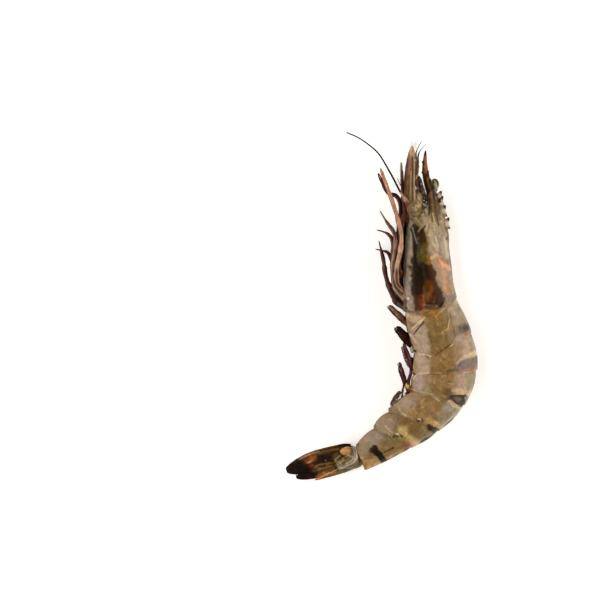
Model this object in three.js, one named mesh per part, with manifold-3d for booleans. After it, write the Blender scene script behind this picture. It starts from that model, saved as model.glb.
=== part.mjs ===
// Raw tiger prawn lying on its right side.
// Millimetres, +Z up. The head points to +Y, the back faces +X, the belly faces -X,
// and the left side of the animal is the one on top.
//
// The shell is built the way the animal is: one carapace with its saw-toothed beak,
// six rings that tuck into each other, a spike and four blades at the tail, and
// under them the eyes, feelers, mouth limbs, walking legs and swimming legs.

import * as THREE from 'three';
import Module from 'manifold-3d';

const wasm = await Module();
wasm.setup();

// ---------------------------------------------------------------- driving dimensions

// Cross-sections along the body, head to tail. Each one is a plane across the body:
// its point on the back, its point on the belly, and half the body's width there.
const SECTIONS = [
  { place: 'eye notch', back: [25.2, 46.4], belly: [11.6, 38.0], halfWidth: 5.8 },
  { place: 'stomach', back: [28.4, 34.0], belly: [9.8, 26.5], halfWidth: 8.6 },
  { place: 'heart', back: [30.5, 19.6], belly: [9.5, 12.6], halfWidth: 9.9 },
  { place: 'carapace rear', back: [32.9, 4.0], belly: [9.9, -1.8], halfWidth: 10.0 },
  { place: 'ring 1 rear', back: [39.4, -11.6], belly: [13.9, -19.6], halfWidth: 10.1 },
  { place: 'ring 2 rear', back: [41.9, -27.9], belly: [13.6, -29.7], halfWidth: 9.8 },
  { place: 'ring 3 rear', back: [36.4, -43.6], belly: [12.6, -37.0], halfWidth: 9.0 },
  { place: 'ring 4 rear', back: [25.0, -55.1], belly: [2.7, -46.3], halfWidth: 7.9 },
  { place: 'ring 5 rear', back: [13.4, -62.5], belly: [-3.8, -53.8], halfWidth: 6.6 },
  { place: 'ring 6 rear', back: [-7.1, -72.5], belly: [-11.2, -62.2], halfWidth: 4.5 },
];
const CARAPACE_END = 3; // index of the section where the carapace stops
const LAST = SECTIONS.length - 1;

// How far the rear edge of each shell bulges backwards past its section, at which height
// on the side it bulges most, 0 belly to 1 back, and how flat the bulge is.
const REAR_EDGES = {
  3: { bulge: 3.1, height: 0.46, flatness: 4 },
  4: { bulge: 4.0, height: 0.38, flatness: 2 },
  5: { bulge: 0.9, height: 0.5, flatness: 2 },
  6: { bulge: 0.4, height: 0.5, flatness: 2 },
  7: { bulge: -1.0, height: 0.6, flatness: 2 },
  8: { bulge: -0.4, height: 0.6, flatness: 2 },
};

const GAP = 0.3; // clearance between neighbouring pieces
const FLAT_DEPTH = 0.35; // depth of the flat spot that the right side rests on
const CARAPACE_MID = 10.0 - FLAT_DEPTH; // height of the head's own middle plane

const WIDEST = 0.42; // where the side is widest, 0 belly to 1 back
const CARAPACE_TUCK = 0.52; // how far the gill covers close in under the head
const CARAPACE_CURVE = 5.0; // how late the gill covers turn in
const RING_TUCK = 0.32; // how far the side flaps close in under the tail
const RING_CURVE = 1.8; // how late the side flaps turn in
const CARAPACE_SOLE = 0.07; // depth of the breast between the gill covers
const RING_SOLE = 0.13; // depth of the belly between the side flaps
const FLAP_THICKNESS = 0.12; // side flap's thickness, of the half width
const FLAP_ROUNDING = 0.045; // how far a side flap's corners are rounded off
const EDGE_FLARE = 0.45; // rear edge of a shell stands out by this
const SHELL_DIP = 0.25; // front of a shell dips in by this
const SHELL_ARCH = 0.35; // middle of a shell arches out by this
const SOLE_SHARE = 0.9; // breadth of the belly's hollow, of the space between the flaps

// Neck of a ring, inside the shell in front of it: how far it reaches forwards and back, in
// sections, then its middle height, half height and half width, as shares of the body.
const NECK_FORWARD = 0.17;
const NECK_BACKWARD = 0.45;
const NECK_MIDDLE = 0.56;
const NECK_HEIGHT = 0.35;
const NECK_WIDTH = 0.78;
const TYPICAL_DEPTH = 24; // body's depth and half width and a ring's length, used to turn
const TYPICAL_HALF_WIDTH = 9; // the gap round a neck into shares
const TYPICAL_RING = 14;

// Blunt face between the eyes: how far it stands in front of the first section.
const FACE_FORWARD = [-1.4, 3.4];
const FACE_SHARE = 0.94; // of the first section's size
const FACE_ROOT = 0.3; // section inside the head where the face starts

// Beak: middle line from the head to the tip, its depth at the root, and its teeth.
const BEAK_LINE = [[25.6, 40.0], [22.9, 46.9], [20.2, 54.6], [19.1, 61.2], [19.4, 68.6]];
const BEAK_DEPTH = 4.3;
const BEAK_THICKNESS = 2.2;
const BEAK_TOP_TEETH = [0.16, 0.27, 0.38, 0.5, 0.63];
const BEAK_LOWER_TEETH = [0.66, 0.8];
const TOOTH_LENGTH = 3.2;
const TOOTH_FRONT = 0.4; // steep front of a tooth
const TOOTH_HEIGHT = 0.8;
const LOWER_TOOTH_SHARE = 0.6; // lower teeth are smaller
const CREST_TEETH = [1.0, 0.62, 0.32, 0.12]; // on the head's back, in sections
const CREST_END = 1.6;
const CREST_HEIGHT = 0.15;
const CREST_TOOTH_SHARE = 1.5; // crest teeth are taller than the beak's
const CREST_ROOT = 1.6; // how deep the crest is sunk into the head
const CREST_THICKNESS = 1.6;

// Tail fan: the spike and four blades, folded in a stack.
const SPIKE_PATH = [[-9.9, -69.2, 4.3], [-16.2, -72.2, 4.3], [-22.9, -74.6, 4.2], [-29.2, -77.0, 4.0]];
const SPIKE_DEPTH = 1.7;
const SPIKE_HALF_WIDTH = 2.3;
const BLADES = [
  { name: 'uropod_outer_left', halfWidth: 3.9, knob: 1.9,
    path: [[-15.6, -64.0, 8.2], [-19, -65.2, 8.5], [-27, -68.0, 8.2], [-41.9, -72.6, 7.2]] },
  { name: 'uropod_inner_left', halfWidth: 3.3, knob: 0.7,
    path: [[-13.6, -67.6, 7.4], [-19, -69.2, 7.1], [-27, -72.4, 6.5], [-37.6, -76.0, 5.6]] },
  { name: 'uropod_inner_right', halfWidth: 3.3, knob: 0.5,
    path: [[-13.6, -67.0, 1.9], [-19, -68.8, 1.9], [-27, -71.8, 2.0], [-37.0, -75.4, 2.2]] },
  { name: 'uropod_outer_right', halfWidth: 3.9, knob: 0.9,
    path: [[-13.2, -63.0, 1.2], [-17, -63.6, 0.7], [-27, -67.4, 0.6], [-41.0, -72.0, 0.6]] },
];
const BLADE_THICKNESS = 0.38;

// Walking legs: path of each from the breast to its tip, and whether it ends in a pincer.
const LEGS = [
  { name: 'leg_left_1', pincer: true,
    path: [[11.6, 18, 12.2], [8.4, 22, 12.6], [8.0, 29, 12.8], [8.8, 36, 12.8]] },
  { name: 'leg_left_2', pincer: true,
    path: [[11.4, 12, 12.6], [7.6, 16, 15.4], [7.8, 25, 15.4], [9.2, 36.5, 15.0]] },
  { name: 'leg_left_3', pincer: true,
    path: [[11.4, 5.5, 12.8], [7.0, 9.4, 16.2], [6.4, 16.5, 17.8], [8.0, 24, 18.4], [8.3, 32, 18.6],
      [5.3, 43.3, 17.4], [0.9, 56.2, 14.2]] },
  { name: 'leg_left_4', pincer: false,
    path: [[11.6, 1.6, 12.4], [6.0, 8.2, 12.9], [4.9, 18, 14.4], [6.0, 26.5, 14.4], [5.4, 32, 14.0],
      [2.2, 36.9, 12.4], [-0.9, 42.2, 10.4]] },
  { name: 'leg_left_5', pincer: false,
    path: [[11.8, -1.4, 11.2], [7.0, 1.2, 11.2], [4.2, 6.2, 11.3], [1.8, 13.5, 11.2], [0.8, 20.4, 10.2],
      [-1.2, 29, 8.6]] },
  { name: 'leg_right_1', pincer: true,
    path: [[11.6, 18, 7.2], [8.8, 22, 7.2], [8.2, 30, 7.8], [8.4, 39, 8.0]] },
  { name: 'leg_right_2', pincer: true,
    path: [[11.4, 12, 6.6], [8.2, 16, 3.6], [7.4, 25, 2.8], [9.0, 36, 2.4], [9.2, 44, 2.2]] },
  { name: 'leg_right_3', pincer: true,
    path: [[11.4, 6.4, 7.6], [8.0, 9.6, 9.2], [5.6, 20, 10.9], [7.6, 34, 10.6], [8.3, 44, 10.6],
      [6.4, 48.4, 10.4], [2.8, 49.6, 10.0], [0.4, 54.2, 9.4]] },
  { name: 'leg_right_4', pincer: false,
    path: [[11.6, 1.6, 6.4], [7.4, 7.2, 5.2], [5.6, 18, 6.0], [5.0, 28.2, 6.2], [3.4, 31.4, 5.9],
      [0.4, 33, 5.0], [-2.2, 33.6, 4.0]] },
  { name: 'leg_right_5', pincer: false,
    path: [[11.8, -1.4, 7.6], [7.8, 2.4, 3.2], [5.6, 11.5, 2.1], [4.9, 19, 2.3], [3.2, 23.4, 2.5],
      [0.0, 24.6, 2.2], [-2.6, 25.2, 1.8]] },
];
const LEG_RADIUS = 1.08;
const CLAW_START = 0.76; // share of the leg's length
const CLAW_TAPER = 0.75;
const PINCER_LENGTH = 4.8;
const PINCER_RADIUS = 0.42;

// Mouth limbs, alongside the front of the legs.
const MOUTH_LIMBS = [
  { name: 'mouth_limb_left',
    path: [[12.6, 31.5, 12.0], [11.0, 39, 12.9], [9.3, 49, 13.2], [8.5, 63.2, 13.2]] },
  { name: 'mouth_limb_right',
    path: [[12.6, 31.5, 7.0], [11.0, 39, 5.4], [9.6, 49, 5.1], [9.4, 60, 4.8]] },
];
const MOUTH_LIMB_RADIUS = 1.1;

// Swimming legs under rings 1 to 5: root on the belly, bend, tip and breadth; the left row
// stands above the middle plane and the right row mirrors it below.
const SWIMMERS = [
  { root: [15.2, -11.0], bend: [8.1, -4.4], tip: [3.4, 0.2], breadth: 1 },
  { root: [15.6, -19.4], bend: [11.2, -14.4], tip: [6.6, -9.2], breadth: 1.45 },
  { root: [15.4, -30.6], bend: [12.0, -24.4], tip: [9.8, -17.6], breadth: 0.8 },
  { root: [12.4, -39.4], bend: [10.2, -32.4], tip: [8.1, -24.8], breadth: 0.6 },
  { root: [6.6, -47.6], bend: [5.2, -43.0], tip: [8.4, -37.6], breadth: 0.75 },
];
const SWIMMER_HALF_WIDTH = 1.35;
const SWIMMER_HALF_THICKNESS = 0.85;
const SWIMMER_SPREAD = 4.6; // height of a root above the middle plane

// Feelers, their scales and the eyes.
const SCALE_PATH = [[13.9, 41.4], [12.4, 48], [12.5, 57], [13.4, 70.2]];
const SCALE_HALF_WIDTH = 2.5;
const SCALE_TAPER = 0.28;
const SCALE_TIP = 0.25; // half width of its blunt tip
const SCALE_HALF_THICKNESS = 0.5;
const SCALE_RISE = 6.6; // height above the head's middle plane
const SCALE_KNOB = 2.1;
const FEELER_PATH = [[11.2, 45.0, 17.9], [9.5, 47.5, 17.8], [7.9, 50.1, 16.8], [5.7, 54.7, 14.3],
  [3.4, 59.2, 11.7], [-1.0, 66.9, 7.6], [-5.3, 71.1, 4.6], [-10.0, 74.5, 2.4], [-15.4, 77.0, 0.9]];
const FEELER_RADIUS = 0.42;
const FEELER_STUB_PATH = [[12.2, 41.0, 7.3], [10.8, 45.4, 8.0], [9.6, 50.4, 8.2], [7.0, 56.4, 7.2]];
const FEELER_ROOT_RADIUS = 1.0;
const SMALL_FEELER = {
  stalk: [[16.0, 44.6, 1.6], [13.3, 50.5, 1.5], [15.3, 57.6, 1.8], [15.9, 64.6, 2.9]],
  whips: [
    [[15.8, 63.6, 2.9], [15.2, 67.4, 3.2], [17.8, 72.8, 2.8]],
    [[16.0, 63.6, 2.6], [16.6, 67.6, 2.0], [19.6, 71.4, 1.6]],
  ],
};
const SMALL_FEELER_RADIUS = 1.0;
const WHIP_RADIUS = 0.32;
const EYES = [
  { name: 'eye_left', root: [20.2, 45.4, 12.2], centre: [16.0, 53.4, 13.9], radii: [1.75, 3.2, 1.9] },
  { name: 'eye_right', root: [22.8, 45.6, 7.0], centre: [23.6, 53.4, 5.2], radii: [2.2, 2.8, 2.3] },
];
const EYE_STALK_RADIUS = 1.25;

// ---------------------------------------------------------------- finishes

function finish(name, color, roughness) {
  return new THREE.MeshStandardMaterial({ name, color, roughness, metalness: 0 });
}

const SHELL = finish('shell', 0x8e6e46, 0.32);
const HEAD_SHELL = finish('head_shell', 0x6b4a2c, 0.3);
const TAIL_BLADE = finish('tail_blade', 0x402b1c, 0.34);
const SPIKE_SHELL = finish('spike_shell', 0x877150, 0.34);
const LEG_SHELL = finish('leg_shell', 0x7c5a46, 0.38);
const SWIMMER_SHELL = finish('swimmer_shell', 0x4a2c22, 0.42);
const EYE_SHELL = finish('eye', 0x2c1a14, 0.15);
const FEELER_SHELL = finish('feeler', 0x241a16, 0.4);
const SCALE_SHELL = finish('feeler_scale', 0x9a7656, 0.36);

// ---------------------------------------------------------------- body surface

const backLine = new THREE.SplineCurve(SECTIONS.map((s) => new THREE.Vector2(...s.back)));
const bellyLine = new THREE.SplineCurve(SECTIONS.map((s) => new THREE.Vector2(...s.belly)));
const widthLine = new THREE.SplineCurve(SECTIONS.map((s, i) => new THREE.Vector2(i, s.halfWidth)));

// Height of the middle plane: the head's own plane is level, and behind it the narrowing
// rings each lie on their side, so the middle comes down with the width.
function midHeight(v) {
  const halfWidth = widthLine.getPoint(v / LAST).y;
  const ringMid = halfWidth - FLAT_DEPTH;
  const behind = THREE.MathUtils.smoothstep(v, CARAPACE_END - 0.5, CARAPACE_END + 0.5);
  return THREE.MathUtils.lerp(CARAPACE_MID, ringMid, behind);
}

// Point of the body at section v, height t between belly 0 and back 1, and side -1 to 1 of
// the half width, grown outwards by grow.
function bodyPoint(v, t, side, grow = 0) {
  const back = backLine.getPoint(v / LAST);
  const belly = bellyLine.getPoint(v / LAST);
  const halfWidth = widthLine.getPoint(v / LAST).y + grow;
  const depth = back.distanceTo(belly);
  const height = 0.5 + (t - 0.5) * (1 + (2 * grow) / depth);
  const onPlane = belly.clone().lerp(back, height);
  return new THREE.Vector3(onPlane.x, onPlane.y, midHeight(v) + side * halfWidth);
}

// Half width of the side at height t, as a share of the largest. Below its widest place the
// side closes in by tuck, the later the larger the curve.
function sideProfile(t, tuck, curve) {
  if (t >= WIDEST) {
    const rise = (t - WIDEST) / (1 - WIDEST);
    return Math.sqrt(Math.max(1 - rise * rise, 0));
  }
  const fall = (WIDEST - t) / WIDEST;
  return 1 - tuck * fall ** curve;
}

// Outline across the body: up the left side, over the back, down the right side, and back
// along the hollow belly between the two flaps.
function crossOutline(tuck, curve, sole, halfSteps) {
  const outline = [];
  for (let i = 0; i <= halfSteps; i++) {
    const t = (1 - Math.cos((Math.PI * i) / halfSteps)) / 2;
    outline.push({ t, side: sideProfile(t, tuck, curve) });
  }
  for (let i = halfSteps - 1; i >= 0; i--) {
    outline.push({ t: outline[i].t, side: -outline[i].side });
  }
  const inner = 1 - tuck - FLAP_THICKNESS;
  outline.push({ t: sole, side: -inner * SOLE_SHARE });
  outline.push({ t: sole * 1.15, side: 0 });
  outline.push({ t: sole, side: inner * SOLE_SHARE });
  return outline;
}

// ---------------------------------------------------------------- closed lofts and joins

// Closed solid through rings of points, all with the same count, with both ends capped.
function closedLoft(rings, outline2d) {
  const count = rings[0].length;
  const positions = [];
  rings.forEach((ring) => ring.forEach((p) => positions.push(p.x, p.y, p.z)));
  const index = [];
  for (let r = 0; r < rings.length - 1; r++) {
    for (let i = 0; i < count; i++) {
      const j = (i + 1) % count;
      const a = r * count;
      const b = a + count;
      index.push(a + i, a + j, b + j, a + i, b + j, b + i);
    }
  }
  const end = (rings.length - 1) * count;
  const clockwise = THREE.ShapeUtils.isClockWise(outline2d);
  THREE.ShapeUtils.triangulateShape(outline2d, []).forEach((face) => {
    const [a, b, c] = clockwise ? face : [face[0], face[2], face[1]];
    index.push(a, b, c, end + a, end + c, end + b);
  });
  const geometry = new THREE.BufferGeometry();
  geometry.setAttribute('position', new THREE.Float32BufferAttribute(positions, 3));
  geometry.setIndex(index);
  if (signedVolume(geometry) < 0) flipFaces(geometry);
  return geometry;
}

function signedVolume(geometry) {
  const p = geometry.getAttribute('position');
  const index = geometry.getIndex().array;
  const corner = [new THREE.Vector3(), new THREE.Vector3(), new THREE.Vector3()];
  let volume = 0;
  for (let i = 0; i < index.length; i += 3) {
    corner.forEach((v, k) => v.fromBufferAttribute(p, index[i + k]));
    volume += corner[0].dot(corner[1].clone().cross(corner[2])) / 6;
  }
  return volume;
}

function flipFaces(geometry) {
  const index = geometry.getIndex().array;
  for (let i = 0; i < index.length; i += 3) {
    [index[i + 1], index[i + 2]] = [index[i + 2], index[i + 1]];
  }
}

// A geometry with its equal points merged, as a solid that can be joined and cut.
function toSolid(geometry) {
  const p = geometry.getAttribute('position');
  const source = geometry.getIndex() ? geometry.getIndex().array : [...Array(p.count).keys()];
  const seen = new Map();
  const vertices = [];
  const remap = [];
  for (let i = 0; i < p.count; i++) {
    const key = [p.getX(i), p.getY(i), p.getZ(i)].map((c) => Math.round(c * 1e5)).join();
    if (!seen.has(key)) {
      seen.set(key, vertices.length / 3);
      vertices.push(p.getX(i), p.getY(i), p.getZ(i));
    }
    remap.push(seen.get(key));
  }
  const triangles = [];
  for (let i = 0; i < source.length; i += 3) {
    const [a, b, c] = [remap[source[i]], remap[source[i + 1]], remap[source[i + 2]]];
    if (a !== b && b !== c && c !== a) triangles.push(a, b, c);
  }
  return new wasm.Manifold(new wasm.Mesh({
    numProp: 3,
    vertProperties: new Float32Array(vertices),
    triVerts: new Uint32Array(triangles),
  }));
}

// A solid as a geometry, cut off flat where it would reach below the ground.
function toGeometry(solid) {
  const mesh = solid.trimByPlane([0, 0, 1], 0).getMesh();
  const geometry = new THREE.BufferGeometry();
  geometry.setAttribute('position', new THREE.BufferAttribute(new Float32Array(mesh.vertProperties), 3));
  geometry.setIndex(new THREE.BufferAttribute(new Uint32Array(mesh.triVerts), 1));
  return geometry;
}

// ---------------------------------------------------------------- tapering limbs

// Closed solid along a path. halfWidth(s) is measured level, halfThickness(s) upright,
// both for s from 0 at the root to 1 at the tip.
function limb(points, halfWidth, halfThickness, steps, sides) {
  const corners = points.map((p) => new THREE.Vector3(...p));
  const path = new THREE.CatmullRomCurve3(corners, false, 'catmullrom', 0.5);
  const up = new THREE.Vector3(0, 0, 1);
  const rings = [];
  for (let i = 0; i <= steps; i++) {
    const s = i / steps;
    const centre = path.getPointAt(s);
    const across = path.getTangentAt(s).cross(up).normalize();
    const lift = across.clone().cross(path.getTangentAt(s)).normalize();
    rings.push(Array.from({ length: sides }, (_, k) => {
      const angle = (2 * Math.PI * k) / sides;
      return centre.clone()
        .addScaledVector(across, Math.cos(angle) * halfWidth(s))
        .addScaledVector(lift, Math.sin(angle) * halfThickness(s));
    }));
  }
  const outline = Array.from({ length: sides }, (_, k) => {
    const angle = (2 * Math.PI * k) / sides;
    return new THREE.Vector2(Math.cos(angle), Math.sin(angle));
  });
  return closedLoft(rings, outline);
}

function ball(centre, radii, sides) {
  const geometry = new THREE.SphereGeometry(1, sides, Math.round(sides * 0.7));
  geometry.scale(...radii);
  geometry.translate(...centre);
  return geometry;
}

// ---------------------------------------------------------------- shells of the body

const RING_OUTLINE = crossOutline(RING_TUCK, RING_CURVE, RING_SOLE, 9);
const CARAPACE_OUTLINE = crossOutline(CARAPACE_TUCK, CARAPACE_CURVE, CARAPACE_SOLE, 10);

function flatOutline(outline) {
  return outline.map((p) => new THREE.Vector2(p.t, p.side));
}

function rearBulge(section, t) {
  if (!REAR_EDGES[section]) return 0;
  const { bulge, height, flatness } = REAR_EDGES[section];
  const away = t > height ? (t - height) / (1 - height) : (height - t) / height;
  return bulge * (1 - away ** flatness);
}

// Length of the body between section i and the next one, at height t.
function reach(i, t) {
  const from = Math.min(i, LAST - 1);
  return bodyPoint(from, t, 0).distanceTo(bodyPoint(from + 1, t, 0));
}

// One ring of shell from just inside the shell in front of it to its own rear edge: dipped
// in at the front, standing out at the rear, the corners of its side flaps rounded off.
function ringShell(i, grow) {
  const steps = 5;
  const rings = [];
  for (let r = 0; r <= steps; r++) {
    const q = r / steps;
    const flare = THREE.MathUtils.lerp(-SHELL_DIP, EDGE_FLARE, q) + SHELL_ARCH * Math.sin(Math.PI * q);
    rings.push(RING_OUTLINE.map(({ t, side }) => {
      const start = i + Math.min(rearBulge(i, t), 0) / reach(i, t);
      const end = Math.min(i + 1 + (rearBulge(i + 1, t) + grow) / reach(i, t), LAST);
      const corner = FLAP_ROUNDING * Math.abs(2 * q - 1) ** 3 * Math.max(1 - t / RING_SOLE, 0);
      return bodyPoint(THREE.MathUtils.lerp(start, end, q), t + corner, side, flare + grow);
    }));
  }
  return closedLoft(rings, flatOutline(RING_OUTLINE));
}

// Neck of ring i, which sits inside the shell in front of it.
function neck(i, grow) {
  const sides = 18;
  const outline = Array.from({ length: sides }, (_, k) => {
    const angle = (2 * Math.PI * k) / sides;
    return {
      t: NECK_MIDDLE + (NECK_HEIGHT + grow / TYPICAL_DEPTH) * Math.cos(angle),
      side: (NECK_WIDTH + grow / TYPICAL_HALF_WIDTH) * Math.sin(angle),
    };
  });
  const from = i - NECK_FORWARD - grow / TYPICAL_RING;
  const rings = [0, 1, 2, 3].map((k) => {
    const v = THREE.MathUtils.lerp(from, i + NECK_BACKWARD, k / 3);
    return outline.map(({ t, side }) => bodyPoint(v, t, side));
  });
  return closedLoft(rings, flatOutline(outline));
}

function carapaceLoft(grow) {
  const steps = 12;
  const rings = [];
  for (let r = 0; r <= steps; r++) {
    const q = r / steps;
    rings.push(CARAPACE_OUTLINE.map(({ t, side }) => {
      const rear = CARAPACE_END + (rearBulge(CARAPACE_END, t) + grow) / reach(CARAPACE_END, t);
      const v = THREE.MathUtils.lerp(0, rear, q);
      const flare = EDGE_FLARE * q ** 8;
      return bodyPoint(v, t, side, flare + grow);
    }));
  }
  return closedLoft(rings, flatOutline(CARAPACE_OUTLINE));
}

// Blunt face of the head between the eyes, in front of the first section.
function headFace(grow) {
  const rings = [0, 0.4, 0.75, 1].map((k) => {
    const shrink = FACE_SHARE * Math.sqrt(1 - k * k * 0.92);
    return CARAPACE_OUTLINE.map(({ t, side }) => {
      const point = bodyPoint(0, 0.5 + (t - 0.5) * shrink, side * shrink, grow);
      point.x += FACE_FORWARD[0] * k;
      point.y += FACE_FORWARD[1] * k;
      return point;
    });
  });
  const root = ({ t, side }) => bodyPoint(FACE_ROOT, 0.5 + (t - 0.5) * 0.8, side * 0.8, grow);
  rings.unshift(CARAPACE_OUTLINE.map(root));
  return closedLoft(rings, flatOutline(CARAPACE_OUTLINE));
}

// Height of a forward-leaning tooth at distance d behind its point.
function toothAt(d) {
  if (d < -TOOTH_FRONT || d > TOOTH_LENGTH) return 0;
  return TOOTH_HEIGHT * (d < 0 ? 1 + d / TOOTH_FRONT : 1 - d / TOOTH_LENGTH);
}

// Beak: a thin upright blade along its middle line, with teeth on both edges.
function beak() {
  const line = new THREE.SplineCurve(BEAK_LINE.map((p) => new THREE.Vector2(...p)));
  const length = line.getLength();
  const steps = 32;
  const upper = [];
  const lower = [];
  for (let i = 0; i <= steps; i++) {
    const s = i / steps;
    const centre = line.getPointAt(s);
    const tangent = line.getTangentAt(s);
    const outwards = new THREE.Vector2(tangent.y, -tangent.x);
    const half = (BEAK_DEPTH / 2) * (1 - s) ** 0.55 + 0.12;
    const top = Math.max(...BEAK_TOP_TEETH.map((at) => toothAt((at - s) * length)));
    const under = Math.max(...BEAK_LOWER_TEETH.map((at) => toothAt((at - s) * length)));
    upper.push(centre.clone().addScaledVector(outwards, half + top));
    lower.push(centre.clone().addScaledVector(outwards, -half - under * LOWER_TOOTH_SHARE));
  }
  return uprightPlate(upper, lower, BEAK_THICKNESS);
}

// Low toothed crest that carries the beak on along the head's back.
function crest() {
  const steps = 26;
  const top = [];
  const root = [];
  for (let i = 0; i <= steps; i++) {
    const v = (CREST_END * i) / steps;
    const back = backLine.getPoint(v / LAST);
    const ahead = backLine.getTangent(v / LAST);
    const outwards = new THREE.Vector2(-ahead.y, ahead.x);
    const teeth = CREST_TEETH.map((at) => toothAt((v - at) * reach(0, 1)));
    const fade = 1 - (v / CREST_END) ** 3;
    const rise = CREST_HEIGHT * fade + CREST_TOOTH_SHARE * Math.max(...teeth);
    top.push(back.clone().addScaledVector(outwards, rise));
    root.push(back.clone().addScaledVector(outwards, -CREST_ROOT));
  }
  return uprightPlate(top, root, CREST_THICKNESS);
}

// Plate between two edges, centred on the head's middle plane and thinner at its edges.
function uprightPlate(outer, inner, thickness) {
  const levels = [[-0.5, 0.32], [-0.3, 0], [0.3, 0], [0.5, 0.32]];
  const rings = levels.map(([level, inset]) => {
    const z = CARAPACE_MID + level * thickness;
    const raised = (edge, other) => edge.map((p, i) => {
      const drawnIn = p.clone().lerp(other[i], inset / 2);
      return new THREE.Vector3(drawnIn.x, drawnIn.y, z);
    });
    return [...raised(outer, inner), ...raised(inner, outer).reverse()];
  });
  return closedLoft(rings, [...outer, ...inner.slice().reverse()]);
}

// ---------------------------------------------------------------- the model

const prawn = new THREE.Group();
prawn.name = 'tiger_prawn';

function addPiece(name, geometry, material) {
  const mesh = new THREE.Mesh(geometry, material);
  mesh.name = name;
  prawn.add(mesh);
}

// Space that the limbs keep clear of: the whole trunk grown by the gap.
let trunkClearance = toSolid(carapaceLoft(GAP)).add(toSolid(headFace(GAP)));

const carapace = toSolid(carapaceLoft(0))
  .add(toSolid(headFace(0)))
  .add(toSolid(beak()))
  .add(toSolid(crest()))
  .subtract(toSolid(neck(CARAPACE_END, GAP)));
addPiece('carapace', toGeometry(carapace), HEAD_SHELL);

let shellInFront = toSolid(carapaceLoft(GAP));
for (let i = CARAPACE_END; i < LAST; i++) {
  let ring = toSolid(ringShell(i, 0)).subtract(shellInFront).add(toSolid(neck(i, 0)));
  if (i + 1 < LAST) ring = ring.subtract(toSolid(neck(i + 1, GAP)));
  addPiece(`ring_${i - CARAPACE_END + 1}`, toGeometry(ring), SHELL);
  shellInFront = toSolid(ringShell(i, GAP));
  trunkClearance = trunkClearance.add(shellInFront);
}

// A limb cut off where it meets the trunk, so that it butts against the shell. The offcut
// inside the trunk is dropped.
function trimmed(...geometries) {
  const solid = geometries.map(toSolid).reduce((a, b) => a.add(b));
  const pieces = solid.subtract(trunkClearance).decompose();
  return toGeometry(pieces.reduce((a, b) => (a.volume() > b.volume() ? a : b)));
}

const spikeTaper = (s) => (1 - s) ** 0.8 + 0.12;
addPiece('spike', trimmed(limb(
  SPIKE_PATH,
  (s) => SPIKE_DEPTH * spikeTaper(s),
  (s) => SPIKE_HALF_WIDTH * spikeTaper(s),
  8,
  8,
)), SPIKE_SHELL);

for (const { name, path, halfWidth, knob } of BLADES) {
  const leaf = limb(
    path,
    (s) => halfWidth * Math.sin(Math.PI * Math.min(0.12 + s * 0.86, 0.985)) ** 0.62,
    () => BLADE_THICKNESS,
    11,
    8,
  );
  const root = ball(path[0], [knob + 0.9, knob, Math.min(knob, 1.1)], 7);
  addPiece(name, trimmed(leaf, root), TAIL_BLADE);
}

// Legs thin out from the hip to the tip, with a slight swelling at each joint. The last
// joint of a leg without a pincer is a claw that runs to a point.
function legRadius(s) {
  return LEG_RADIUS * (1.2 - 0.5 * s + 0.07 * Math.cos(2 * Math.PI * 5 * s));
}

function clawRadius(s) {
  const intoClaw = Math.max((s - CLAW_START) / (1 - CLAW_START), 0);
  return legRadius(s) * (1 - CLAW_TAPER * intoClaw);
}

// The two fingers of a pincer, which open sideways at the end of a leg.
function pincerFingers(path) {
  const tip = new THREE.Vector3(...path.at(-1));
  const along = tip.clone().sub(new THREE.Vector3(...path.at(-2))).normalize();
  const across = along.clone().cross(new THREE.Vector3(0, 0, 1)).normalize();
  return [-1, 1].map((way) => {
    const root = tip.clone().addScaledVector(along, -0.8).addScaledVector(across, 0.2 * way);
    const middle = tip.clone().addScaledVector(along, PINCER_LENGTH / 2).addScaledVector(across, 0.6 * way);
    const end = tip.clone().addScaledVector(along, PINCER_LENGTH).addScaledVector(across, 0.3 * way);
    const points = [root, middle, end].map((p) => p.toArray());
    return limb(points, (s) => PINCER_RADIUS * (1.1 - 0.8 * s), (s) => PINCER_RADIUS * (1.1 - 0.8 * s), 3, 5);
  });
}

for (const { name, pincer, path } of LEGS) {
  const radius = pincer ? legRadius : clawRadius;
  const stem = limb(path, radius, radius, 3 * (path.length - 1), 7);
  const fingers = pincer ? pincerFingers(path) : [];
  addPiece(name, trimmed(stem, ...fingers), LEG_SHELL);
}

for (const { name, path } of MOUTH_LIMBS) {
  const radius = (s) => MOUTH_LIMB_RADIUS * (1.05 - 0.65 * s);
  addPiece(name, trimmed(limb(path, radius, radius, 8, 6)), LEG_SHELL);
}

SWIMMERS.forEach(({ root, bend, tip, breadth }, i) => {
  const mid = midHeight(CARAPACE_END + i + 0.5);
  for (const [sideName, way] of [['left', 1], ['right', -1]]) {
    const spread = [0.75, 1, 1.05].map((k) => mid + way * SWIMMER_SPREAD * k * (1 - 0.07 * i));
    const path = [root, bend, tip].map((p, k) => [...p, spread[k]]);
    const swell = (s) => 0.5 + 0.55 * Math.sin(Math.PI * (0.18 + 0.78 * s));
    const leaf = limb(
      path,
      (s) => SWIMMER_HALF_WIDTH * breadth * swell(s),
      (s) => SWIMMER_HALF_THICKNESS * swell(s),
      6,
      6,
    );
    addPiece(`swimmer_${sideName}_${i + 1}`, trimmed(leaf), SWIMMER_SHELL);
  }
});

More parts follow.
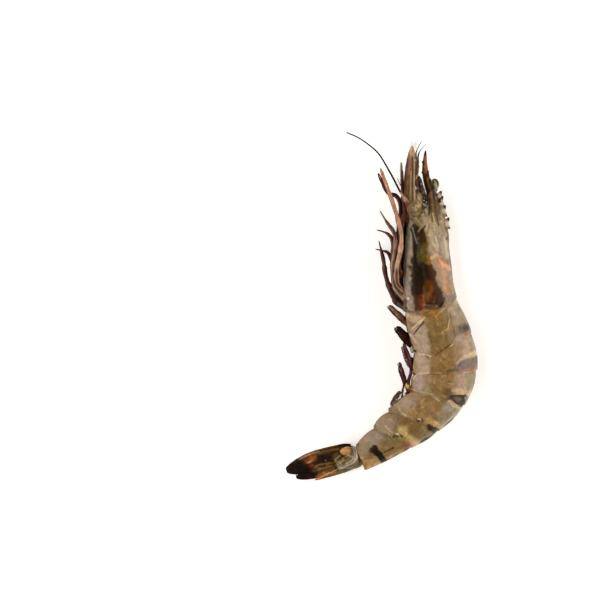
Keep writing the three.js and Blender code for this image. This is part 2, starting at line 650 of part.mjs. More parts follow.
for (const [sideName, way] of [['left', 1], ['right', -1]]) {
  const path = SCALE_PATH.map(([x, y], k) => [x, y, CARAPACE_MID + way * (SCALE_RISE - (k === 0 ? 1.4 : 0))]);
  const leaf = limb(
    path,
    (s) => SCALE_HALF_WIDTH * (1 - SCALE_TAPER * s) * (1 - s ** 5) ** 0.6 + SCALE_TIP,
    () => SCALE_HALF_THICKNESS,
    9,
    6,
  );
  const scaleRoot = ball(path[0], [SCALE_KNOB, SCALE_KNOB, 1.7], 7);
  addPiece(`feeler_scale_${sideName}`, trimmed(leaf, scaleRoot), SCALE_SHELL);

  const place = ([x, y, rise]) => [x, y, CARAPACE_MID + way * rise];
  const stalk = limb(
    SMALL_FEELER.stalk.map(place),
    (s) => SMALL_FEELER_RADIUS * (1.1 - 0.45 * s),
    (s) => SMALL_FEELER_RADIUS * (1.1 - 0.45 * s),
    7,
    6,
  );
  const whips = SMALL_FEELER.whips.map((whip) => limb(
    whip.map(place),
    (s) => WHIP_RADIUS * (1.1 - 0.6 * s),
    (s) => WHIP_RADIUS * (1.1 - 0.6 * s),
    3,
    5,
  ));
  addPiece(`small_feeler_${sideName}`, trimmed(stalk, ...whips), FEELER_SHELL);
}

// Long feelers: a thick root beside the scale, then the whip. The right one is broken off.
function feelerRadius(s, rootShare) {
  const whip = FEELER_RADIUS * (1.05 - 0.5 * s);
  return s < rootShare ? THREE.MathUtils.lerp(FEELER_ROOT_RADIUS, whip, (s / rootShare) ** 2) : whip;
}
const longRadius = (s) => feelerRadius(s, 0.13);
const stubRadius = (s) => feelerRadius(s, 0.38);
addPiece('feeler_left', trimmed(limb(FEELER_PATH, longRadius, longRadius, 24, 6)), FEELER_SHELL);
addPiece('feeler_right', trimmed(limb(FEELER_STUB_PATH, stubRadius, stubRadius, 7, 6)), FEELER_SHELL);

for (const { name, root, centre, radii } of EYES) {
  const stalk = limb([root, centre], () => EYE_STALK_RADIUS, () => EYE_STALK_RADIUS, 2, 7);
  addPiece(name, trimmed(stalk, ball(centre, radii, 12)), EYE_SHELL);
}

export default prawn;
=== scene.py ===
# %% [markdown]
# # A raw tiger prawn, lying on its right side
#
# A prawn is a row of stiff wet shells around soft meat: one long shell over the head, six
# rings down the tail, a spike and four blades at the end, and thin jointed limbs below.
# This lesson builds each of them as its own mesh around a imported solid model, paints the
# pigment into each mesh as a colour attribute, and gives it a wet, slightly see-through
# finish. The animal lies flat, so X and Y are a plan of its side: the head points to +Y,
# the back to +X, and Z is the thickness of the body.

import bpy
import numpy as np
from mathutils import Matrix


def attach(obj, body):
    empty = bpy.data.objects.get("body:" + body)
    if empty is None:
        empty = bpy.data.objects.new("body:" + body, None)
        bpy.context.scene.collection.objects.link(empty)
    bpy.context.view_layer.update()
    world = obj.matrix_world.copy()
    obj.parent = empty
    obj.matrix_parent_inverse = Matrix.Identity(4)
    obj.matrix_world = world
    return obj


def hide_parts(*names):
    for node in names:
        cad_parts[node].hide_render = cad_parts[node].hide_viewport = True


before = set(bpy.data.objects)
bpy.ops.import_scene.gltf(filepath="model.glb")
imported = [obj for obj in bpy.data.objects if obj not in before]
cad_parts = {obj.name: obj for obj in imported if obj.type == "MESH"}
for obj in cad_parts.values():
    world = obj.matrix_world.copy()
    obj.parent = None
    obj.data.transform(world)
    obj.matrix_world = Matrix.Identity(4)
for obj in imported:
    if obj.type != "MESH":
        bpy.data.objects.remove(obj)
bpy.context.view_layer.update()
print("nodes to dress:", len(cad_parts))

# %% [markdown]
# ## Units, colours and noise
#
# The scene is in metres, but a prawn is easier to think about in millimetres, so every
# shape below is worked out in millimetres and scaled once, when its mesh is made. Colours
# are written as the hex values that a screen shows, and one function turns them to the
# linear values that light adds up in. Living things are never even, so a small value noise
# is written here too: it is the same on every run, because it comes from a fixed hash. A
# seed, the last number in many calls below, only picks another patch of that noise.

# %% Units, colours and noise
MM = 0.001
# The table is lit this much past white, so colours chosen on a screen are divided by it.
LIT = 1.35


def linear(code):
    """The linear colour for a hex code such as #8c6f42."""
    parts = [int(code[i:i + 2], 16) / 255 for i in (1, 3, 5)]
    return np.array([p / 12.92 if p <= 0.04045 else ((p + 0.055) / 1.055) ** 2.4 for p in parts])


def noise(points, size, seed=0):
    """Smooth noise from -1 to 1, with bumps about size millimetres across."""
    grid = np.asarray(points, float) / size + seed * 17.31
    cell = np.floor(grid).astype(np.int64)
    part = grid - cell
    part = part * part * (3 - 2 * part)
    total = np.zeros(grid.shape[:-1])
    for corner in range(8):
        step = np.array([corner & 1, corner >> 1 & 1, corner >> 2 & 1])
        c = cell + step  # large primes mix the three numbers of each grid point into one value
        mixed = (c[..., 0] * 73856093) ^ (c[..., 1] * 19349663) ^ (c[..., 2] * 83492791)
        mixed = (mixed ^ (mixed >> 13)) * 1274126177 & 0xFFFFFFFF
        value = ((mixed ^ (mixed >> 16)) & 0xFFFF) / 32767.5 - 1
        share = np.where(step, part, 1 - part)
        total += value * share[..., 0] * share[..., 1] * share[..., 2]
    return total


def rough_noise(points, size, seed=0):
    """Three layers of noise, each half as wide and half as strong as the last."""
    layers = [noise(points, size / 2 ** k, seed + 5 * k) / 2 ** k for k in range(3)]
    return sum(layers) / 1.75


def smooth(low, high, value):
    """Eases from 0 at low to 1 at high."""
    x = np.clip((value - low) / (high - low), 0, 1)
    return x * x * (3 - 2 * x)


# %% [markdown]
# ## Curves, and meshes from rows of points
#
# Nearly every part of a prawn can be described as rows of points: rings across a leg, or
# lines across a shell. One function joins such rows into a closed mesh with its faces
# turned outwards, and closes both ends with a fan. The rows follow smooth curves through a
# few named points, so a shape is changed by moving one point.

# %% Curves, and meshes from rows of points
def spline(values, at):
    """Smooth curve through the rows of values, read at positions from 0 to the last row."""
    values = np.asarray(values, float)
    last = len(values) - 1
    at = np.clip(np.asarray(at, float), 0, last)
    i = np.minimum(at.astype(int), last - 1)
    w = (at - i)[..., None]
    before, here, there = values[np.maximum(i - 1, 0)], values[i], values[i + 1]
    beyond = values[np.minimum(i + 2, last)]
    out, back = (there - before) / 2, (beyond - here) / 2
    return ((2 * here - 2 * there + out + back) * w + (3 * there - 3 * here - 2 * out - back)) * w * w \
        + out * w + here


def curve(values, count):
    """The same curve read at count positions from its first row to its last."""
    return spline(values, np.linspace(0, len(values) - 1, count))


def eased(values, count):
    """Sizes at count positions, eased through a few values."""
    return curve(np.array(values)[:, None], count)[:, 0]


def even_path(values, count):
    """count points at even distances along the smooth curve through values."""
    fine = curve(values, 400)
    gone = np.concatenate([[0], np.cumsum(np.linalg.norm(np.diff(fine, axis=0), axis=1))])
    where = np.linspace(0, gone[-1], count)
    return np.stack([np.interp(where, gone, fine[:, k]) for k in range(fine.shape[1])], axis=1)


def circle(count):
    """Angles of count points round a full turn."""
    return np.linspace(0, 2 * np.pi, count, endpoint=False)


def loft(rows):
    """Points and faces of a closed body through rows of points, each a closed loop."""
    count, around = rows.shape[:2]
    points = np.concatenate([rows.reshape(-1, 3), rows[:1].mean(axis=1), rows[-1:].mean(axis=1)])
    here = np.arange(around)
    there = (here + 1) % around
    sides = [np.stack([r * around + here, r * around + there, (r + 1) * around + there,
                       (r + 1) * around + here], axis=1) for r in range(count - 1)]
    first, last = count * around, count * around + 1
    start = np.stack([there, here, np.full(around, first)], axis=1)
    end = np.stack([(count - 1) * around + here, (count - 1) * around + there,
                    np.full(around, last)], axis=1)
    quads = np.concatenate(sides)
    middle = points.mean(axis=0)
    a, b, c = (points[quads[:, k]] - middle for k in (0, 1, 2))
    if np.einsum("ij,ij->i", a, np.cross(b, c)).sum() < 0:
        quads, start, end = quads[:, ::-1], start[:, ::-1], end[:, ::-1]
    return points, [quads, start, end]


def merge(*bodies):
    """Several sets of points and faces as one."""
    points, faces, offset = [], [], 0
    for p, f in bodies:
        points.append(p)
        faces.extend(block + offset for block in f)
        offset += len(p)
    return np.concatenate(points), faces


def make_piece(name, body, pigment_and_painted_light, material, replaced=()):
    """A mesh from points, faces and a linear colour for each point, riding on the prawn."""
    points, faces = body
    mesh = bpy.data.meshes.new(name)
    mesh.from_pydata((points * MM).tolist(), [], [f for block in faces for f in block.tolist()])
    layer = mesh.color_attributes.new("pigment_and_painted_light", "FLOAT_COLOR", "POINT")
    colours = np.concatenate([pigment_and_painted_light / LIT, np.ones((len(points), 1))], axis=1)
    layer.data.foreach_set("color", colours.ravel())
    mesh.shade_smooth()
    mesh.materials.append(material)
    piece = bpy.data.objects.new(name, mesh)
    bpy.context.scene.collection.objects.link(piece)
    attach(piece, "root")
    if replaced:
        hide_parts(*replaced)
    return piece


# %% [markdown]
# ## Pigment
#
# The colour of a raw prawn isn't on the shell but in it: loose cells of brown, blue and
# yellow pigment in bands and clouds, with dark organs showing through over the head. It is
# laid on here as a painter would, in strokes along short paths in the plan of the body,
# each with its colour, half width and strength. Some strokes are painted light rather than
# pigment: pale reflections of the lamps, highlights, and shade in creases and along edges.
# Noise is added to the distance from each path, which frays the strokes' edges, and broad
# strokes fade out softly, unless their strength is above one. The result goes into the mesh
# as a colour attribute of pigment and painted light, so it follows the shell and needs no
# picture.

# %% Pigment in strokes
def path_distance(plan, path):
    """Distance of each plan point from a path of one or more points."""
    path = np.asarray(path, float)
    if len(path) == 1:
        path = np.concatenate([path, path])
    nearest = np.full(len(plan), 1e9)
    for a, b in zip(path[:-1], path[1:]):
        along = b - a
        share = np.clip(((plan - a) @ along) / max(along @ along, 1e-9), 0, 1)
        nearest = np.minimum(nearest, np.linalg.norm(plan - a - share[:, None] * along, axis=1))
    return nearest


def paint(points, base, strokes, fray=0.7, seed=3):
    """Colours for points: the base, with each stroke (path, half width, colour, strength) over it."""
    plan = points[:, :2]
    ragged = [rough_noise(points, size, seed + k) for k, size in enumerate((0.9, 2.0, 4.2))]
    colour = np.tile(linear(base), (len(points), 1))
    for k, (path, width, code, strength) in enumerate(strokes):
        scale = int(width > 0.9) + int(width > 2.2)  # broad strokes fray in bigger bumps
        edge = fray * (ragged[scale] * np.cos(2.4 * k) + ragged[scale - 1] * np.sin(2.4 * k))
        outer, inner = (1.4, 0.25) if width > 1.1 else (1.15, 0.5)
        share = strength * smooth(outer, inner, path_distance(plan, path) / width + edge)
        share = np.minimum(share * np.clip(1 - 0.35 * ragged[k % 2], 0, 1), 0.99)[:, None]
        colour = colour * (1 - share) + linear(code) * share
    return colour


# %% [markdown]
# ## Wet shell
#
# Prawn shell is chitin, thin and slightly clear, with a film of water over it. Light goes
# into it a little way and comes out warm, so the shader has some subsurface scattering,
# and the film is a clear coat with the refractive index of water and hardly any
# roughness. Chitin itself is near 1.55. The colour comes from the attribute of pigment and
# painted light, broken up by cloudy noise about 3 mm across, by a grain of 1.3 mm in tone
# and hue, and by specks of pigment cells, which are 0.1 to 0.3 mm on the animal and are
# drawn at 0.5 mm so that they show. Shallow dents and fine pits in the bump keep the
# reflections from being glass-smooth. The film is weakest over the darkest pigment and
# painted shade, which would otherwise turn grey under it.

# %% Wet shell
CLOUD_MM, GRAIN_MM, PATCH_MM = 3, 1.25, 1.7  # sizes of the noise in the colour
DENT_MM, PIT_MM, DENT_DEPTH_MM = 2.2, 0.35, 0.35  # and in the bump
SPECK_BROWN = "#3a2514"


def add_node(tree, kind, settings=None, links=None):
    """Adds a node, sets its properties and input values, and links other sockets to inputs."""
    node = tree.nodes.new(kind)
    for key, value in (settings or {}).items():
        if isinstance(key, int) or key in node.inputs:
            node.inputs[key].default_value = value
        else:
            setattr(node, key, value)
    for key, source in (links or {}).items():
        tree.links.new(source, node.inputs[key])
    return node


def pigment_colour(tree, place, pigment_and_painted_light, clouds, mottle, specks, speck_mm):
    """The attribute of pigment and painted light, broken up by clouds, by grain in tone and hue, and by
    specks.
    """
    cloud = add_node(tree, "ShaderNodeTexNoise", {"Scale": 1 / (CLOUD_MM * MM), "Detail": 5.0,
                     "Roughness": 0.6}, {"Vector": place})
    grain = add_node(tree, "ShaderNodeTexNoise", {"Scale": 1 / (GRAIN_MM * MM), "Detail": 3.0,
                     "Roughness": 0.7}, {"Vector": place})
    colour = pigment_and_painted_light
    for pattern, depth in ((cloud, clouds), (grain, mottle)):
        tone = add_node(tree, "ShaderNodeMapRange", {"From Min": 0.3, "From Max": 0.7,
                        "To Min": 1 - depth, "To Max": 1 + depth}, {"Value": pattern.outputs["Fac"]})
        colour = add_node(tree, "ShaderNodeVectorMath", {"operation": "SCALE"},
                          {0: colour, "Scale": tone.outputs["Result"]}).outputs["Vector"]
    hue = add_node(tree, "ShaderNodeVectorMath", {"operation": "MULTIPLY_ADD", 1: (0.3, 0.2, 0.4),
                   2: (0.85, 0.9, 0.8)}, {0: grain.outputs["Color"]})
    toned = add_node(tree, "ShaderNodeVectorMath", {"operation": "MULTIPLY"},
                     {0: colour, 1: hue.outputs["Vector"]})

    speck = add_node(tree, "ShaderNodeTexVoronoi", {"Scale": 1 / (speck_mm * MM), "Randomness": 1.0},
                     {"Vector": place})
    patch = add_node(tree, "ShaderNodeTexNoise", {"Scale": 1 / (PATCH_MM * MM), "Detail": 2.0},
                     {"Vector": place})
    near = add_node(tree, "ShaderNodeMapRange", {"From Min": 0.12, "From Max": 0.34, "To Min": 1.0,
                    "To Max": 0.0}, {"Value": speck.outputs["Distance"]})
    where = add_node(tree, "ShaderNodeMapRange", {"From Min": 0.48, "From Max": 0.66, "To Min": 0.0,
                     "To Max": specks}, {"Value": patch.outputs["Fac"]})
    dark = add_node(tree, "ShaderNodeMath", {"operation": "MULTIPLY"},
                    {0: near.outputs["Result"], 1: where.outputs["Result"]})
    speckled = add_node(tree, "ShaderNodeMix", {"data_type": "RGBA", "blend_type": "MIX"},
                        {"Factor": dark.outputs["Value"], 6: toned.outputs["Vector"]})
    speckled.inputs[7].default_value = (*linear(SPECK_BROWN), 1)
    return speckled.outputs[2], cloud.outputs["Fac"]


def combed(tree, place, colour, streaks):
    """A colour with faint fibres along the body, 0.5 mm wide and 7 mm long."""
    comb = add_node(tree, "ShaderNodeMapping", {"Scale": (1 / (0.5 * MM), 1 / (7 * MM), 1 / (0.5 * MM))},
                    {"Vector": place})
    fibre = add_node(tree, "ShaderNodeTexNoise", {"Scale": 1.0, "Detail": 3.0},
                     {"Vector": comb.outputs["Vector"]})
    tone = add_node(tree, "ShaderNodeMapRange", {"From Min": 0.3, "From Max": 0.7,
                    "To Min": 1 - streaks, "To Max": 1 + streaks}, {"Value": fibre.outputs["Fac"]})
    return add_node(tree, "ShaderNodeVectorMath", {"operation": "SCALE"},
                    {0: colour, "Scale": tone.outputs["Result"]}).outputs["Vector"]


def wet_material(name, roughness=0.36, coat=1.0, gloss=0.12, dents=0.5, specks=0.3, clouds=0.25,
                 streaks=0.0, under=0.12, speck_mm=0.5, mottle=0.2):
    """Chitin under a film of water, coloured by the attribute of pigment and painted light."""
    material = bpy.data.materials.new(name)
    material.use_nodes = True
    tree = material.node_tree
    shader = tree.nodes["Principled BSDF"]
    place = add_node(tree, "ShaderNodeTexCoord").outputs["Object"]
    pigment_and_painted_light = add_node(tree, "ShaderNodeVertexColor", {"layer_name": "pigment_and_painted_light"}).outputs["Color"]
    colour, cloud = pigment_colour(tree, place, pigment_and_painted_light, clouds, mottle, specks, speck_mm)
    if streaks:
        colour = combed(tree, place, colour, streaks)

    dent = add_node(tree, "ShaderNodeTexNoise", {"Scale": 1 / (DENT_MM * MM), "Detail": 3.0,
                    "Roughness": 0.55}, {"Vector": place})
    pit = add_node(tree, "ShaderNodeTexNoise", {"Scale": 1 / (PIT_MM * MM), "Detail": 2.0},
                   {"Vector": place})
    height = add_node(tree, "ShaderNodeMath", {"operation": "MULTIPLY_ADD", 1: 0.12},
                      {0: pit.outputs["Fac"], 2: dent.outputs["Fac"]})
    bump = add_node(tree, "ShaderNodeBump", {"Strength": dents, "Distance": DENT_DEPTH_MM * MM},
                    {"Height": height.outputs["Value"]})
    rough = add_node(tree, "ShaderNodeMapRange", {"From Min": 0.3, "From Max": 0.7,
                     "To Min": roughness * 0.8, "To Max": roughness * 1.25}, {"Value": cloud})
    # The film's weight follows the attribute of pigment and painted light, so it is thin over painted
    # shade too.
    film = add_node(tree, "ShaderNodeMapRange", {"From Min": 0.0, "From Max": 0.16,
                    "To Min": coat * 0.06, "To Max": coat}, {"Value": pigment_and_painted_light})  # least over dark pigment
    for socket, source in (("Base Color", colour), ("Roughness", rough.outputs["Result"]),
                           ("Coat Weight", film.outputs["Result"]), ("Normal", bump.outputs["Normal"]),
                           ("Coat Normal", bump.outputs["Normal"])):
        tree.links.new(source, shader.inputs[socket])
    shader.inputs["IOR"].default_value = 1.55
    shader.inputs["Specular IOR Level"].default_value = gloss  # under water, chitin reflects far less
    shader.inputs["Specular Tint"].default_value = (1.0, 0.8, 0.6, 1)
    shader.inputs["Coat Roughness"].default_value = 0.04
    shader.inputs["Coat IOR"].default_value = 1.45
    shader.inputs["Subsurface Weight"].default_value = under
    shader.inputs["Subsurface Radius"].default_value = (1.0, 0.55, 0.3)
    shader.inputs["Subsurface Scale"].default_value = 1.2 * MM
    return material


TAIL_CHITIN = wet_material("wet_chitin_tail", roughness=0.4, coat=0.8, dents=0.32, specks=0.25)
HEAD_CHITIN = wet_material("wet_chitin_head", coat=0.45, dents=0.34, specks=0.2, streaks=0.06, mottle=0.18)
BLADE_CHITIN = wet_material("wet_chitin_blade", roughness=0.42, coat=0.25, gloss=0.04, clouds=0.35,
                            under=0.05)
FEELER_CHITIN = wet_material("wet_chitin_feeler", roughness=0.5, coat=0.2, dents=0.3, under=0.02)
LIMB_CHITIN = wet_material("wet_chitin_limb", roughness=0.42, coat=0.5, dents=0.3, specks=0.2,
                           speck_mm=0.35)
SWIMMER_CHITIN = wet_material("wet_chitin_swimmer", roughness=0.65, coat=0.1, gloss=0.04, dents=0.35,
                              clouds=0.5, under=0.02)
TISSUE = wet_material("wet_tissue", roughness=0.5, coat=0.35, dents=0.6, clouds=0.6, specks=0.5,
                      speck_mm=0.6)
print("finishes:", [m.name for m in bpy.data.materials if m.name.startswith("wet")])

# %% [markdown]
# ## The trunk as a set of sections
#
# The trunk bends and narrows from head to tail, so it is described by ten planes across
# it. Each holds a point on the back, a point on the belly and half the width there, the
# same numbers that the solid model uses. A point of the surface is named by v, its place
# along the body counted in sections, t, its height from belly 0 to back 1, and side, from
# -1 on the right to 1 on the left. This makes it simple to say "the rear edge of the
# second ring" wherever the body has bent to.

# %% Sections of the trunk
SECTIONS = np.array([
    # back x, y, belly x, y, half width
    [25.2, 46.4, 11.6, 38.0, 5.8],    # eye notch
    [28.4, 34.0, 9.8, 26.5, 8.6],     # stomach
    [30.5, 19.6, 9.5, 12.6, 9.9],     # heart
    [32.9, 4.0, 9.9, -1.8, 10.0],     # rear of the head shell
    [39.4, -11.6, 13.9, -19.6, 10.1],  # rear of ring 1
    [41.9, -27.9, 13.6, -29.7, 9.8],
    [36.4, -43.6, 12.6, -37.0, 9.0],
    [25.0, -55.1, 2.7, -46.3, 7.9],
    [13.4, -62.5, -3.8, -53.8, 6.6],
    [-7.1, -72.5, -11.2, -62.2, 4.5],  # rear of ring 6
])
HEAD_END, TAIL_END = 3, 9
FLAT_DEPTH = 0.35
HEAD_MID = 10.0 - FLAT_DEPTH
WIDEST = 0.42
# Rear edges: how far each bulges back, at which height, and how flat the bulge is.
REAR_EDGES = {3: (3.1, 0.46, 4), 4: (4.0, 0.38, 2), 5: (0.9, 0.5, 2), 6: (0.4, 0.5, 2),
              7: (-1.0, 0.6, 2), 8: (-0.4, 0.6, 2)}


def body_point(v, t, side, grow=0.0):
    """The point named by v, t and side, moved outwards by grow."""
    v, t, side, grow = np.broadcast_arrays(*(np.asarray(a, float) for a in (v, t, side, grow)))
    at = spline(SECTIONS, v)
    back, belly, half = at[..., 0:2], at[..., 2:4], at[..., 4]
    depth = np.linalg.norm(back - belly, axis=-1)
    height = 0.5 + (t - 0.5) * (1 + 2 * grow / depth)
    plan = belly + (back - belly) * height[..., None]
    level = HEAD_MID + (half - FLAT_DEPTH - HEAD_MID) * smooth(HEAD_END - 0.5, HEAD_END + 0.5, v)
    z = np.maximum(level + side * (half + grow), 0)
    return np.concatenate([plan, z[..., None]], axis=-1)


def side_profile(t, tuck, bend):
    """How far out the side stands at height t: full at the widest place, tucked in below."""
    rise = np.clip((t - WIDEST) / (1 - WIDEST), 0, 1)
    fall = np.clip((WIDEST - t) / WIDEST, 0, 1)
    return np.where(t >= WIDEST, np.sqrt(1 - rise * rise), 1 - tuck * fall ** bend)


def cross_outline(tuck, bend, sole, steps):
    """t and side around the body: left side up, right side down, then the hollow belly.

    The third value says where in these the belly starts."""
    angle = np.linspace(0, np.pi, steps)
    t = (1 - np.cos(angle)) / 2
    side = side_profile(t, tuck, bend)
    inner = 0.9 * (1 - tuck - 0.12)
    belly = curve([[0, -(1 - tuck)], [sole * 0.55, -inner * 1.06], [sole, -inner * 0.85], [sole * 1.15, 0],
                   [sole, inner * 0.85], [sole * 0.55, inner * 1.06], [0, 1 - tuck]], 30)[1:-1]
    outer = steps * 2 - 1
    return (np.concatenate([t, t[-2::-1], belly[:, 0]]),
            np.concatenate([side, -side[-2::-1], belly[:, 1]]), outer)


def rear_bulge(section, t):
    """How far the rear edge at a section stands back at height t."""
    if section not in REAR_EDGES:
        return np.zeros_like(t)
    bulge, height, flatness = REAR_EDGES[section]
    away = np.where(t > height, (t - height) / (1 - height), (height - t) / height)
    return bulge * (1 - away ** flatness)


def reach(i, t):
    """Length of the body from section i to the next one, at height t."""
    i = min(i, TAIL_END - 1)
    return np.linalg.norm(body_point(i, t, 0) - body_point(i + 1, t, 0), axis=-1)


def outward(rows):
    """Outward normals of a closed loft's rows."""
    along = np.gradient(rows, axis=0)
    around = np.roll(rows, -1, axis=1) - np.roll(rows, 1, axis=1)
    normal = np.cross(around, along)
    normal /= np.maximum(np.linalg.norm(normal, axis=-1, keepdims=True), 1e-9)
    centre = rows.mean(axis=1, keepdims=True)
    if np.einsum("ijk,ijk->", normal, rows - centre) < 0:
        normal = -normal
    return normal


def relief(rows, marks):
    """Height that marks (path, half width, height), laid on the plan, add to each point of rows."""
    points = rows.reshape(-1, 3)
    total = np.zeros(len(points))
    edge = 0.25 * rough_noise(points, 2.4, 21)
    for path, width, height in marks:
        total += height * smooth(1, 0, path_distance(points[:, :2], path) / width + edge)
    return total.reshape(rows.shape[:2])


def pushed(rows, push):
    """Rows moved outwards by a height for each point, and kept above the table."""
    rows = rows + outward(rows) * push[..., None]
    rows[..., 2] = np.maximum(rows[..., 2], 0)
    return rows


# %% [markdown]
# ## Six rings of the tail
#
# Each ring is a band of shell that wraps the back and hangs down both sides as a rounded
# flap. Its front edge slips under the shell in front, and its rear edge stands out over
# the next, which is what lets the tail curl. A ring could be cut from one long tube, but
# then the steps between rings would be missing. So each one is lofted on its own from the
# sections: it starts hidden inside the shell in front, swells, ends in a rolled lip, and
# turns in under itself. The pigment bands, the pale line in front of each and the hinge
# spots are strokes in the plan, and so are 150 fine scratches scattered over the sides.

